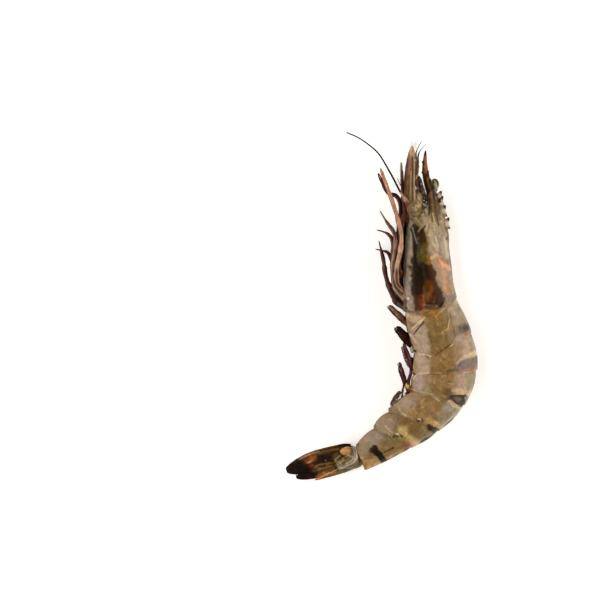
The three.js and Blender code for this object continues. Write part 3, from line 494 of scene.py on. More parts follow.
# %% Pigment and relief of the rings
RING_BASE = "#8c6f42"
RING_STROKES = [
    # yellow-brown front of ring 1, then the olive-brown middle of the sides
    ([(16.9, -3.5), (24.0, -4.0)], 2.6, "#8a6424", 0.9),
    ([(18.7, -2.2), (22.2, -2.6)], 1.6, "#94621c", 0.7),
    ([(20.5, -7.9), (27.5, -7.9)], 3.0, "#86683e", 0.85),
    ([(22.2, -13.2), (30.1, -13.6)], 3.6, "#7d6438", 0.85),
    ([(22.7, -18.9), (26.2, -18.5)], 2.0, "#835f30", 0.8),
    ([(27.5, -2.2), (27.9, -8.8)], 1.7, "#7a6220", 0.85),
    ([(23.1, -23.3), (31.9, -24.2)], 4.2, "#8f6e43", 0.85),
    ([(23.1, -27.3), (27.5, -27.7)], 2.2, "#85602e", 0.7),
    ([(23.1, -33.0), (30.1, -33.9)], 4.4, "#917047", 0.85),
    ([(27.1, -37.0), (29.3, -37.8)], 1.7, "#6c5026", 0.85),
    ([(18.7, -35.6), (20.9, -36.5)], 1.7, "#7d7040", 0.75),
    ([(11.7, -43.1), (22.2, -46.6)], 4.4, "#94754d", 0.85),
    ([(5.5, -49.3), (13.4, -54.6)], 4.4, "#775b33", 0.9),
    ([(-4.2, -57.2), (4.6, -57.2)], 3.6, "#806a50", 0.8),
    ([(0.2, -60.7), (6.4, -59.0)], 2.6, "#7e6a46", 0.8),
    ([(-9.5, -62.5), (-5.1, -63.4)], 2.6, "#7b6d4b", 0.85),
    # pinkish flaps: a painted reflection of the left panel over the flaps' tan, strongest on the first two
    ([(15.6, -9.2), (17.8, -18.0)], 2.7, "#a08468", 1.7),
    ([(16.9, -22.4), (18.3, -27.7)], 2.6, "#a58a6c", 1.7),
    ([(16.1, -31.2), (16.5, -35.6)], 1.7, "#a2877a", 0.85),
    ([(6.4, -40.9), (11.7, -42.7)], 2.6, "#98806a", 0.8),
    ([(-1.5, -51.0), (4.6, -51.9)], 3.0, "#8b725c", 0.7),
    ([(-7.7, -57.2), (-2.4, -58.1)], 3.0, "#8a7262", 0.8),
    # back, greenish and pinkish by turns
    ([(31.9, 2.6), (32.3, -0.4)], 1.7, "#aa9c74", 0.9),
    ([(31.5, -2.2), (33.7, -6.2)], 2.3, "#9c886a", 0.85),
    ([(33.9, 0.4), (34.3, -1.3)], 0.8, "#6e6250", 0.8),
    ([(34.1, -14.1), (38.1, -16.7), (37.2, -20.2)], 3.2, "#ad9076", 0.85),
    ([(39.4, -15.8), (40.7, -20.2)], 1.4, "#8a7c60", 0.8),
    ([(34.5, -30.8), (35.4, -35.6)], 2.2, "#b09072", 0.85),
    ([(38.1, -29.9), (38.9, -37.0)], 2.0, "#918464", 0.85),
    ([(28.4, -44.9), (32.8, -45.8), (30.1, -48.4), (26.2, -49.3)], 2.8, "#91856a", 0.85),
    ([(19.6, -56.3), (16.1, -59.0)], 1.8, "#7d7052", 0.8),
    # outline of the back: faint at first, then a black painted shadow along the edge, with a bright inner
    # edge
    ([(35.4, 1.3), (40.3, -11.0), (42.9, -26.4), (39.4, -38.7)], 0.55, "#62543e", 0.7),
    ([(31.3, -50.0), (28.4, -53.1), (24.9, -55.7), (15.3, -61.2), (11.7, -62.7), (7.9, -65.6),
      (2.8, -68.7), (-4.2, -71.9)], 0.65, "#140d07", 1.6),
    ([(2.9, -68.0), (7.3, -65.1), (10.8, -62.5)], 0.5, "#5a4238", 0.6),
    ([(31.0, -48.6), (26.6, -52.8)], 0.28, "#c0b8a6", 0.7),
    # ring 1: cream flap with flecks, crease, pale rim below, yellow wedge between pale lines;
    # the dark lines in the crease and the groove are painted shade, the pale lines beside them painted
    # highlights
    ([(9.9, -2.6), (13.0, -5.3), (16.1, -6.2)], 1.9, "#bfa078", 0.9),
    ([(10.5, -2.2)], 0.8, "#efe2cc", 0.95),
    ([(12.5, -3.5), (13.9, -4.4)], 0.35, "#6a4e34", 0.7),
    ([(11.7, -4.8), (13.0, -6.4)], 0.35, "#8a6a4c", 0.7),
    ([(11.2, -6.4), (13.2, -8.4), (15.2, -8.6)], 0.8, "#6b4a42", 0.8),
    ([(15.2, -6.4), (18.3, -5.4)], 0.35, "#5c4630", 0.7),
    ([(18.7, -4.9), (13.0, -10.1)], 0.34, "#d2bc94", 0.8),
    ([(18.2, -7.0), (14.0, -12.1)], 0.4, "#2f2118", 0.95),
    ([(12.4, -12.3), (14.7, -15.8)], 0.5, "#c4ab88", 0.8),
    ([(29.2, 0.9), (24.0, -3.8)], 0.36, "#bc9c6a", 0.75),
    ([(29.5, -5.7), (28.7, -9.7), (25.3, -12.3)], 0.34, "#b89a66", 0.7),
    ([(29.7, -3.1), (30.1, -6.7), (31.1, -10.1), (31.6, -13.6), (29.9, -16.7)], 0.35, "#64503a", 0.75),
    ([(20.0, -11.0), (21.6, -15.8)], 0.35, "#5e4a28", 0.6),
    # ring 1's band, faint to the left, and its red spot
    ([(35.0, -9.7), (38.7, -9.2)], 2.0, "#54463e", 0.95),
    ([(36.2, -10.0), (37.5, -9.4)], 1.2, "#3a2e34", 0.9),
    ([(31.9, -12.8), (35.0, -11.0)], 1.2, "#6e5c44", 0.7),
    ([(36.7, -12.5), (37.3, -12.5)], 0.5, "#ac5a50", 0.85),
    ([(39.2, -8.8), (39.6, -11.0)], 0.7, "#5a4e46", 0.8),
    # ring 2: cream line, purple-grey band with a rosy rear edge
    ([(33.0, -24.9), (35.2, -23.3), (37.6, -22.3)], 0.9, "#d2b488", 0.95),
    ([(37.2, -22.2), (41.1, -20.9)], 1.4, "#d6ba92", 0.95),
    ([(34.3, -26.4), (37.6, -25.5), (42.0, -24.4)], 2.3, "#76625a", 1.3),
    ([(41.8, -22.4), (42.5, -27.3)], 0.9, "#5a4e44", 0.85),
    ([(33.2, -26.4), (34.5, -25.1)], 0.6, "#5c3c28", 0.8),
    ([(34.5, -28.3), (40.7, -28.2)], 0.8, "#a66a58", 0.8),
    ([(35.4, -29.0), (38.9, -28.9)], 0.25, "#d2c0b0", 0.5),
    ([(28.4, -28.4), (32.8, -27.9)], 0.9, "#61552a", 0.85),
    # ring 3: pale shade, then a band dark at its edges and rosy inside
    ([(31.9, -37.2), (35.4, -38.1), (38.9, -38.5)], 1.5, "#caa47c", 0.9),
    ([(29.1, -33.8), (31.0, -34.1)], 0.26, "#c8a870", 0.7),
    ([(25.1, -32.3), (26.2, -33.9), (27.3, -34.5)], 0.28, "#b08058", 0.6),
    ([(35.2, -32.6), (35.3, -36.1)], 0.35, "#a87058", 0.7),
    ([(30.6, -40.2), (33.7, -41.1), (37.2, -41.8)], 2.1, "#62483e", 1.3),
    ([(30.1, -39.4), (33.7, -39.3), (37.2, -40.0)], 0.6, "#241812", 0.95),
    ([(29.0, -40.9), (30.6, -39.6), (31.7, -41.8), (33.4, -42.9)], 0.5, "#38180f", 0.9),
    ([(35.0, -43.6), (35.9, -41.4), (36.5, -39.8)], 1.0, "#2a2420", 0.95),
    ([(37.2, -40.5), (37.8, -42.2)], 0.9, "#77705e", 0.9),
    # ring 4: pale line behind the band, white specks, yellow and brown patch at the rear
    ([(29.3, -41.7), (32.0, -43.5), (35.0, -45.2)], 0.7, "#c9ac7c", 0.85),
    ([(24.0, -40.7), (24.9, -41.4)], 0.4, "#d8c8a8", 0.85),
    ([(22.9, -40.3), (23.5, -40.7)], 0.3, "#cdb994", 0.8),
    ([(15.6, -41.8), (16.9, -45.8)], 1.2, "#946640", 0.7),
    ([(7.2, -44.4), (8.4, -46.6), (10.6, -48.0)], 0.28, "#bfa67c", 0.7),
    ([(13.8, -44.9), (16.0, -47.5)], 0.26, "#bda478", 0.6),
    ([(21.3, -50.3), (25.5, -52.6)], 1.6, "#c0a065", 0.85),
    ([(22.7, -50.4), (24.9, -51.9)], 0.35, "#e0c68c", 0.7),
    ([(20.7, -53.1), (22.7, -54.3), (24.4, -55.4)], 1.4, "#33200f", 1.5),
    ([(23.1, -54.8), (25.1, -55.2)], 1.2, "#463838", 0.8),
    # ring 5: streaky yellow with orange at its end
    ([(9.2, -55.0), (11.7, -57.6), (14.7, -60.3)], 2.3, "#c2a66e", 0.95),
    ([(10.3, -55.4), (13.4, -58.3)], 0.45, "#d8ba7a", 0.7),
    ([(9.0, -56.8), (12.1, -59.8)], 0.4, "#86662c", 0.6),
    ([(13.4, -60.9), (15.2, -61.5)], 1.2, "#cf8f60", 0.9),
    ([(9.9, -60.7), (12.3, -61.6)], 1.4, "#94582f", 0.9),
    ([(1.5, -52.5), (4.6, -55.7)], 0.28, "#bca27a", 0.7),
    # ring 6: tan patches, dark bar across, rust spot
    ([(2.0, -65.6), (6.4, -63.1), (8.1, -63.8)], 1.8, "#94713e", 0.85),
    ([(4.3, -66.4)], 0.9, "#c0804f", 0.9),
    ([(1.1, -64.4), (5.3, -62.3)], 0.5, "#2b2412", 0.85),
    ([(-6.8, -68.2), (-2.0, -69.1)], 2.4, "#ae8854", 0.9),
    ([(-7.7, -67.3), (-4.2, -66.7)], 0.5, "#6a5236", 0.7),
    ([(-5.5, -70.5)], 1.3, "#c98f50", 0.9),
    ([(-5.1, -63.8), (-2.4, -61.9)], 1.0, "#36301d", 0.85),
    ([(-3.1, -62.0), (-0.4, -65.6), (2.9, -70.4)], 1.05, "#17130b", 1.8),
    ([(-4.0, -62.9), (-1.3, -66.0), (1.5, -70.4)], 1.05, "#17130b", 1.8),
    ([(-9.0, -68.2), (-8.6, -71.3)], 0.9, "#2a2014", 0.9),
    # thin lines where the rings overlap: the dark ones are painted shade in the seams
    ([(23.3, -21.2), (26.7, -18.9), (29.5, -17.0)], 0.45, "#553a1c", 0.9),
    ([(16.1, -21.1), (18.7, -21.3), (20.9, -22.0)], 0.5, "#cdb090", 0.75),
    ([(19.1, -21.7), (20.0, -22.3)], 0.5, "#4a3420", 0.8),
    ([(21.3, -29.9), (27.1, -29.5)], 0.4, "#7d562e", 0.6),
    ([(13.7, -31.9), (15.2, -29.9), (20.0, -29.2)], 0.45, "#c8a890", 0.8),
    ([(13.9, -36.7), (17.4, -37.6), (21.3, -38.3), (24.9, -40.5)], 0.4, "#b79a78", 0.6),
    ([(25.7, -40.0), (28.8, -40.9)], 0.4, "#5a4428", 0.7),
    # hinge spots, each a painted highlight on its small dome, with dark corners of painted shade beside it
    ([(29.6, -17.5), (30.7, -16.9)], 0.26, "#d0bc94", 0.7),
    ([(15.9, -49.5), (16.6, -49.4), (16.9, -49.9)], 0.2, "#f2dfc0", 1.1),
    ([(15.5, -50.1), (16.4, -50.4)], 0.4, "#1d1206", 1.0),
    ([(17.6, -49.5), (17.8, -50.4)], 0.4, "#2a1a0c", 0.9),
    ([(13.8, -48.8), (15.4, -49.9)], 0.35, "#4a3820", 0.7),
    ([(6.2, -56.2), (6.9, -56.0), (7.3, -56.5)], 0.2, "#f2dfc0", 1.1),
    ([(5.7, -56.9), (7.0, -57.3)], 0.5, "#1d1206", 1.0),
    ([(3.7, -57.8), (6.2, -57.0)], 0.4, "#3a2c18", 0.8),
    ([(8.1, -56.5), (8.8, -57.3)], 0.45, "#2a1a0c", 0.9),
]
RING_MARKS = [
    ([(30.3, -17.3)], 0.7, 0.25),
    ([(16.5, -49.6)], 0.6, 0.35),
    ([(6.8, -56.2)], 0.6, 0.35),
    ([(15.4, -50.4)], 0.7, -0.3),
    ([(5.7, -57.1)], 0.7, -0.3),
    ([(29.5, -4.4), (28.7, -9.7), (25.3, -12.3)], 0.6, 0.14),
    ([(30.0, -4.4), (31.5, -13.2)], 0.6, -0.14),
    ([(18.2, -7.0), (14.0, -12.1)], 0.5, -0.2),
    ([(26.2, -31.2), (31.0, -32.1), (34.5, -31.2)], 0.5, -0.07),
    ([(25.7, -33.4), (30.1, -34.3), (35.4, -33.4)], 0.5, -0.06),
    ([(9.9, -59.0), (-2.4, -66.9)], 0.8, 0.12),
]
SCRATCHES = 150
RING_MIDDLES = [(20.5, -7.0), (26.2, -13.6), (26.6, -24.2), (25.7, -33.4), (16.9, -44.0), (8.1, -51.9),
                (-0.7, -59.8)]
scratch_rng = np.random.default_rng(31)
spots = spline(RING_MIDDLES, scratch_rng.uniform(0, 6, SCRATCHES)) \
    + scratch_rng.normal(0, 3.2, (SCRATCHES, 2))
for k, spot in enumerate(spots):
    turn = scratch_rng.choice([0.5, -0.9, 2.2]) + scratch_rng.normal(0, 0.35)
    half = scratch_rng.uniform(0.3, 1.3) * np.array([np.cos(turn), np.sin(turn)])
    bow = scratch_rng.normal(0, 0.15, 2)
    RING_STROKES.append(([spot - half, spot + bow, spot + half], scratch_rng.uniform(0.18, 0.26),
                         ("#c3a87a", "#5b4322", "#b09068")[k % 3], scratch_rng.uniform(0.2, 0.45)))
print("strokes on the rings:", len(RING_STROKES))

# %% Six rings of the tail
RING_SOLE = 0.13  # height of the hollow belly, as a share of the depth
RING_ROWS = 72
LIP, LIP_DEPTH = 0.32, 1.6  # thickness of the shell at its rear edge, and how far it turns in


def shell_rows(i, end_bulge, u, t, side, dip=0.18, flare=0.32, arch=0.35, sink=4.5, rounding=0.045):
    """Rows of one ring: u runs from below 0, hidden in front, to 1 at the rear edge."""
    start = i + np.minimum(rear_bulge(i, t), 0) / reach(i, t)
    end = np.minimum(i + 1 + end_bulge / reach(i, t), TAIL_END)
    q = np.clip(u, 0, 1)[:, None]
    v = start + (end - start) * u[:, None]
    grow = -dip + (flare + dip) * q + arch * np.sin(np.pi * q) - sink * np.clip(-u, 0, 1)[:, None]
    corner = rounding * np.abs(2 * q - 1) ** 3 * np.clip(1 - t / RING_SOLE, 0, 1)
    return body_point(v, t + corner, side, grow)


def lipped(rows, thickness, depth):
    """Rolls the last row inwards and takes it forwards again, inside the shell."""
    last, inward = rows[-1], -outward(rows)[-1]
    ahead = rows[-1] - rows[-4]
    ahead /= np.maximum(np.linalg.norm(ahead, axis=-1, keepdims=True), 1e-9)
    turned = [last + ahead * 0.5 * thickness * np.sin(a) + inward * 0.5 * thickness * (1 - np.cos(a))
              for a in np.linspace(0, np.pi, 6)[1:]]
    inside = [turned[-1] - ahead * depth * k + inward * 0.35 * k for k in (0.35, 1.0)]
    return np.concatenate([rows, np.stack(turned + inside)])


t, side, outer = cross_outline(tuck=0.32, bend=1.8, sole=RING_SOLE, steps=104)
u = np.concatenate([[-0.14, -0.07], np.linspace(0, 1, RING_ROWS)])
rings = []
for i in range(HEAD_END, TAIL_END):
    wobble = 0.12 * noise(np.stack([t * 30, side * 12, np.full_like(t, i)], axis=1), 4.0, i)
    rows = shell_rows(i, rear_bulge(i + 1, t) + wobble, u, t, side)
    push = relief(rows, RING_MARKS) + 0.1 * noise(rows, 7.0, 40 + i) + 0.04 * noise(rows, 2.4, 50 + i)
    push[:, outer:] = 0.08 * noise(rows[:, outer:], 2.5, 60)
    body = loft(lipped(pushed(rows, push), LIP, LIP_DEPTH))
    name = f"ring_{i - HEAD_END + 1}"
    rings.append(make_piece(f"{name}_shell", body, paint(body[0], RING_BASE, RING_STROKES), TAIL_CHITIN,
                            [name]))
print("rings:", [ring.name for ring in rings])

# %% [markdown]
# ## The head shell
#
# One long shell, the carapace, covers the head and the gills. Its sides are nearly flat
# and turn in sharply at the bottom, its rear edge is a straight raised rim, and shallow
# grooves on it mark the organs below. In front it is cut back round the eye, and its
# shoulders run up beside the beak. It is lofted like a ring, with more rows, because it
# carries the most pigment: black and olive over the gills, rust at the rear, and pale
# pink with an orange streak along the back.

# %% Pigment and relief of the head shell
HEAD_BASE = "#8f7350"
FRONT_EDGE = [
    # tan shell below the feelers' base, with fine lines
    ([(11.7, 39.6), (13.9, 35.2)], 2.6, "#85704a", 0.85),
    ([(15.2, 37.4), (16.9, 33.4)], 2.0, "#7a683f", 0.8),
    ([(19.1, 42.7), (19.6, 37.0), (19.1, 33.9)], 1.8, "#a8967a", 0.9),
    ([(18.4, 41.8), (19.1, 39.6)], 0.5, "#3c2a1a", 0.8),
    ([(12.5, 38.7), (16.1, 34.3)], 0.35, "#4e3a22", 0.7),
    ([(14.3, 39.2), (17.4, 35.2)], 0.35, "#b49c70", 0.7),
    ([(10.3, 39.6), (9.9, 35.2)], 0.5, "#cbb08a", 0.8),
]
HEAD_STROKES = FRONT_EDGE + [
    # back: tan in front, pinker behind
    ([(23.1, 36.1), (25.7, 27.3)], 4.6, "#a89072", 0.95),
    ([(27.1, 26.8), (28.4, 22.0)], 1.8, "#bca889", 0.85),
    ([(20.9, 25.1), (23.1, 24.2)], 2.4, "#a58a70", 0.85),
    ([(23.5, 19.4), (25.7, 14.1)], 3.0, "#a88466", 0.9),
    ([(27.5, 15.0), (28.4, 7.0)], 3.0, "#ae8766", 0.85),
    ([(29.5, 15.0), (29.9, 9.7)], 1.3, "#967e72", 0.85),
    ([(24.4, 9.7), (25.3, 4.0)], 2.0, "#917868", 0.85),
    ([(27.1, 3.1), (31.0, 4.4)], 2.0, "#8b7a6a", 0.85),
    ([(30.6, 8.4), (31.9, 6.6)], 1.2, "#ab8d5a", 0.8),
    # bright strip along the lower edge, a painted reflection of the left panel, with maroon painted shade
    # below it
    ([(9.3, 34.3), (8.8, 19.4), (8.1, 7.0)], 1.6, "#33190f", 0.95),
    ([(11.8, 36.1), (11.7, 23.8)], 1.6, "#988c72", 1.1),
    ([(11.7, 22.0), (11.5, 11.9)], 2.0, "#9c8872", 1.4),
    ([(10.5, 10.1), (11.4, 7.0)], 2.1, "#928278", 1.2),
    ([(12.0, 5.7), (12.6, -0.9)], 2.1, "#947c6a", 1.3),
    ([(10.6, 22.0), (10.1, 11.9), (9.3, 7.9), (10.3, 4.4)], 0.4, "#4a362a", 0.7),
    ([(12.4, 32.6), (12.2, 24.6)], 0.35, "#a39c80", 0.7),
    ([(11.4, 3.3)], 0.55, "#dccabc", 0.9),
    ([(12.8, 2.2), (12.9, 1.3)], 0.35, "#c9a89a", 0.8),
    ([(10.8, 1.1), (11.7, -0.7)], 0.35, "#c4aa98", 0.7),
    ([(10.1, 2.6), (10.3, -1.3)], 0.9, "#3c2018", 0.85),
    # gills, nearly black, with a painted sheen as a lighter grey-brown line
    ([(14.6, 34.3), (14.7, 23.8)], 1.4, "#130d07", 1.4),
    ([(15.2, 19.4), (16.1, 12.3), (15.6, 7.5)], 3.0, "#1e1004", 1.8),
    ([(18.3, 17.2), (19.6, 12.8)], 3.0, "#201205", 1.8),
    ([(17.6, 18.5), (18.9, 11.4)], 0.9, "#33271c", 0.8),
    ([(20.9, 17.6), (21.8, 14.1)], 1.3, "#472603", 0.9),
    ([(21.3, 13.2), (22.0, 11.0)], 1.2, "#201108", 0.9),
    # brown and olive above them
    ([(16.9, 32.1), (17.8, 27.3)], 2.0, "#38260c", 1.3),
    ([(16.3, 26.0), (16.1, 19.8)], 1.7, "#434028", 0.95),
    ([(18.7, 26.0), (18.7, 22.9)], 1.6, "#5c4812", 0.95),
    ([(17.4, 20.9), (20.0, 20.5)], 1.7, "#584812", 1.0),
    ([(20.0, 21.6), (20.6, 18.5)], 0.8, "#7f6310", 0.8),
    # rust and orange-brown at the rear
    ([(21.3, 8.8), (20.9, 3.1)], 2.5, "#582b05", 1.5),
    ([(22.0, 7.9), (21.8, 5.7)], 1.2, "#7d4c10", 0.85),
    ([(23.1, 9.7), (24.0, 7.5)], 1.1, "#5c2908", 0.85),
    ([(19.6, 5.3), (19.6, 2.6)], 1.0, "#6f4a24", 0.8),
    ([(24.2, 6.6), (25.1, 0.9)], 2.2, "#381804", 1.6),
    ([(21.8, 14.1), (23.1, 9.7), (24.4, 6.6)], 1.2, "#3a1c08", 1.1),
    ([(25.7, 1.3), (26.6, -0.4)], 1.1, "#22100a", 1.0),
    ([(19.1, 1.3), (22.7, 0.9)], 0.8, "#2b160b", 0.85),
    ([(13.9, 35.2), (14.3, 23.8), (14.6, 13.6), (14.3, 6.6)], 0.9, "#1e1108", 1.5),
    ([(15.0, 7.5), (15.1, 4.0)], 1.4, "#2a190c", 1.5),
    ([(14.8, 3.5), (15.2, -0.9)], 1.3, "#472a1a", 1.2),
    ([(16.9, 4.0), (16.9, -1.3)], 1.2, "#681d05", 0.95),
    ([(19.1, -0.4), (24.0, -0.9)], 1.1, "#5a3418", 0.9),
    # orange streaks on the back
    ([(21.5, 20.9), (23.5, 22.4), (25.7, 21.8)], 0.8, "#cfa882", 0.9),
    ([(24.4, 20.5), (26.2, 19.1), (28.6, 16.7)], 1.4, "#c4875c", 0.85),
    ([(25.3, 19.6), (26.4, 18.5), (27.3, 17.2)], 0.6, "#ea9662", 0.85),
    ([(27.9, 17.6), (29.7, 16.3)], 1.0, "#dca484", 0.85),
    ([(26.4, 15.8), (27.7, 11.0)], 1.5, "#bb8a66", 0.8),
    ([(27.9, 10.1), (28.8, 5.7)], 1.2, "#b58552", 0.8),
    # grey-blue sliver, a painted reflection, and fine lines fanning back from the beak
    ([(13.3, 34.3), (14.3, 30.8), (15.3, 27.3)], 0.5, "#76747a", 0.85),
    ([(12.7, 33.9), (13.9, 29.5), (15.0, 26.4)], 0.4, "#1d1510", 0.9),
    ([(17.4, 34.8), (15.9, 32.6)], 0.4, "#8a8560", 0.8),
    ([(19.0, 35.0), (16.1, 30.9)], 0.45, "#241a10", 0.9),
    ([(19.6, 30.9), (22.7, 27.5)], 0.4, "#8a5a40", 0.75),
    ([(24.3, 32.6), (25.9, 26.2), (25.3, 22.4)], 0.9, "#83746a", 0.7),
    ([(21.8, 34.3), (23.1, 30.8)], 0.35, "#6a5238", 0.6),
    ([(20.5, 33.4), (21.8, 29.0)], 0.4, "#c4b08c", 0.6),
    ([(25.7, 35.2), (27.1, 32.1)], 0.35, "#6a5238", 0.6),
    ([(22.7, 35.2), (25.3, 29.9)], 0.35, "#c8b696", 0.6),
    ([(26.6, 32.6), (28.8, 24.6)], 0.35, "#9c8670", 0.6),
    ([(20.0, 35.2), (21.3, 29.0), (24.0, 24.6)], 0.7, "#c9b594", 0.7),
    ([(22.7, 33.4), (24.4, 26.4)], 0.5, "#cdbb9c", 0.7),
    ([(27.3, 29.9), (28.8, 22.0)], 0.8, "#c8b694", 0.7),
    ([(20.5, 36.1), (20.0, 31.7)], 0.4, "#7a6244", 0.7),
    ([(24.0, 35.2), (24.9, 31.7)], 0.5, "#7a6650", 0.6),
    ([(27.5, 35.6), (28.6, 33.4)], 1.3, "#684829", 0.9),
    ([(28.8, 29.7)], 0.8, "#1c120c", 0.95),
    # brown base of the beak between dark edges, paler to the rear
    ([(22.2, 39.6), (24.9, 35.2)], 2.8, "#9c8660", 0.9),
    ([(21.8, 51.0), (22.7, 43.1)], 2.6, "#38220a", 2.0),
    ([(20.9, 49.7), (21.6, 44.0)], 0.6, "#5e3a14", 0.7),
    ([(22.7, 43.6), (23.5, 38.3)], 2.2, "#6a5026", 0.8),
    ([(21.8, 50.2), (22.4, 43.1), (23.4, 37.0)], 0.35, "#80602e", 0.8),
    ([(22.8, 49.3), (23.5, 42.2), (24.9, 35.2)], 0.35, "#1c1006", 0.9),
    ([(23.7, 48.0), (24.7, 42.2), (26.2, 37.0)], 0.3, "#c4a284", 0.85),
    ([(23.8, 45.8), (24.6, 41.4)], 1.5, "#54380f", 0.95),
    ([(20.6, 47.5), (20.9, 44.0), (20.5, 40.0)], 0.45, "#241509", 0.85),
    ([(21.3, 41.8), (22.2, 37.0)], 0.4, "#58401f", 0.7),
    ([(23.1, 41.8), (24.2, 37.4)], 0.4, "#58401f", 0.7),
    ([(24.4, 41.4), (25.7, 37.8)], 0.4, "#58401f", 0.6),
    ([(22.2, 40.5), (23.3, 36.1)], 0.35, "#c9b386", 0.6),
    # outline of the back, rear rim
    ([(29.1, 30.8), (30.1, 21.6), (32.6, 5.3)], 0.55, "#463628", 0.85),
    ([(10.2, -2.2), (13.4, -2.6)], 0.5, "#5a3d2a", 0.8),
    ([(25.7, -1.3), (28.8, 2.2), (33.2, 4.0)], 0.5, "#7d6950", 0.7),
]
HEAD_MARKS = [
    ([(18.7, 37.0), (20.5, 29.0), (24.0, 19.4), (26.2, 8.8)], 1.1, -0.18),
    ([(13.2, 34.3), (15.4, 27.3)], 0.7, 0.12),
    ([(12.3, 35.2), (12.0, 22.0), (11.8, 11.9)], 1.5, 0.15),
    ([(12.1, 6.2), (12.5, -0.9)], 1.4, 0.2),
    ([(10.3, -0.4), (15.2, -0.7), (25.3, 0.4), (28.4, 4.0), (32.3, 5.7)], 0.7, -0.22),
    ([(18.3, 31.7), (22.2, 38.7)], 0.5, -0.08),
    ([(21.3, 36.1), (24.0, 29.0)], 0.5, -0.1),
    ([(25.7, 36.1), (27.5, 30.8)], 0.5, -0.1),
    ([(24.3, 32.6), (25.9, 26.2), (25.3, 22.4)], 0.9, -0.12),
    ([(21.5, 20.9), (23.5, 22.4), (25.7, 21.8)], 0.6, 0.12),
    ([(24.9, 20.2), (28.4, 16.7)], 0.8, 0.14),
    ([(20.7, 47.5), (20.9, 41.4)], 0.6, -0.25),
    ([(24.4, 46.6), (26.6, 36.1)], 0.8, 0.15),
]

# %% The head shell
HEAD_ROWS = 190
SHOULDER = 5.5  # how far the shoulders run up beside the beak
t, side, outer = cross_outline(tuck=0.52, bend=5.0, sole=0.07, steps=120)
front = 0.14 * (1 - smooth(0.32, 0.56, t))
wobble = 0.1 * noise(np.stack([t * 30, side * 9, t], axis=1), 4, 7)
rear = HEAD_END + (rear_bulge(HEAD_END, t) + wobble) / reach(HEAD_END, t)
q = np.linspace(0, 1, HEAD_ROWS)[:, None]
rows = body_point(front + (rear - front) * q, t, side, 0.45 * q ** 8)
shoulder = smooth(0.58, 0.86, t) * (1 - smooth(0.0, 0.1, q))
rows[..., :2] += SHOULDER * shoulder[..., None] * np.array([-0.35, 0.94])
rows[..., 2] += (HEAD_MID - rows[..., 2]) * 0.35 * shoulder
push = relief(rows, HEAD_MARKS) + 0.12 * noise(rows, 8.0, 70) + 0.05 * noise(rows, 2.6, 71)
push[:, outer:] = 0.1 * noise(rows[:, outer:], 2.5, 72)
body = loft(lipped(pushed(rows, push), LIP, LIP_DEPTH))
make_piece("carapace_shell", body, paint(body[0], HEAD_BASE, HEAD_STROKES), HEAD_CHITIN,
           ["carapace"])
print("head shell faces:", len(body[1][0]))

# %% [markdown]
# ## Tubes, plates and hairs
#
# The remaining parts are mostly long and thin. One function lofts a closed body round any
# path, with its own radius across and through the plan at each point, so it makes legs,
# feelers and flat leaves alike. The plan direction that a plate lies in is kept level, so
# plates don't twist as they follow their paths.

# %% Tubes and plates
def frame_along(path, level=(0, 0, 1)):
    """Unit vectors along a path, across it, and through it; through stays near level."""
    along = np.gradient(path, axis=0)
    along /= np.maximum(np.linalg.norm(along, axis=1, keepdims=True), 1e-9)
    level = np.broadcast_to(np.asarray(level, float), along.shape)
    across = np.cross(along, level)
    across /= np.maximum(np.linalg.norm(across, axis=1, keepdims=True), 1e-9)
    return along, across, np.cross(across, along)


def sweep(path, wide, thick, level=(0, 0, 1)):
    """Rows round a path, from how far each point lies across it and through it."""
    _, across, through = frame_along(path, level)
    return path[:, None] + across[:, None] * wide[..., None] + through[:, None] * thick[..., None]


def tube_rows(path, wide, thick, around=16, level=(0, 0, 1)):
    """Rows round a path, wide across it and thick through it, as half sizes."""
    angle = circle(around)
    wide, thick = (np.broadcast_to(np.asarray(a, float), len(path))[:, None] for a in (wide, thick))
    return sweep(path, np.cos(angle) * wide, np.sin(angle) * thick, level)


def ridge(places, middle, width):
    """A smooth bump with its top at middle."""
    return np.exp(-((places - middle) / width) ** 2)


def rounded(count, start=1.0, end=1.0, share=0.12):
    """Width along a body of count rows, rounded off at its ends."""
    s = np.linspace(0, 1, count)
    first = np.sqrt(np.clip(1 - (1 - np.clip(s / share, 0, 1)) ** 2, 0, 1))
    last = np.sqrt(np.clip(1 - (1 - np.clip((1 - s) / share, 0, 1)) ** 2, 0, 1))
    return np.maximum((1 - start * (1 - first)) * (1 - end * (1 - last)), 0.03)


def bumpy(rows, height, size, seed):
    """Rows pushed in and out by noise, kept above the table."""
    return pushed(rows, height * rough_noise(rows, size, seed))


def shades(body, low, high, size, seed):
    """Colours for a body's points, mixed from two by noise."""
    share = smooth(-0.5, 0.5, rough_noise(body[0], size, seed))[:, None]
    return linear(low) * (1 - share) + linear(high) * share


# %% [markdown]
# ## What fills the front of the head
#
# In front, the head shell opens on the roots of the feelers, the eye stalks and the mouth,
# all packed together and nearly black. Modelling each of them would be more than can be
# made out there, so one lumpy plug fills the opening from behind the shell's edge to the
# eyes, and the parts that stand out of it are made on their own.

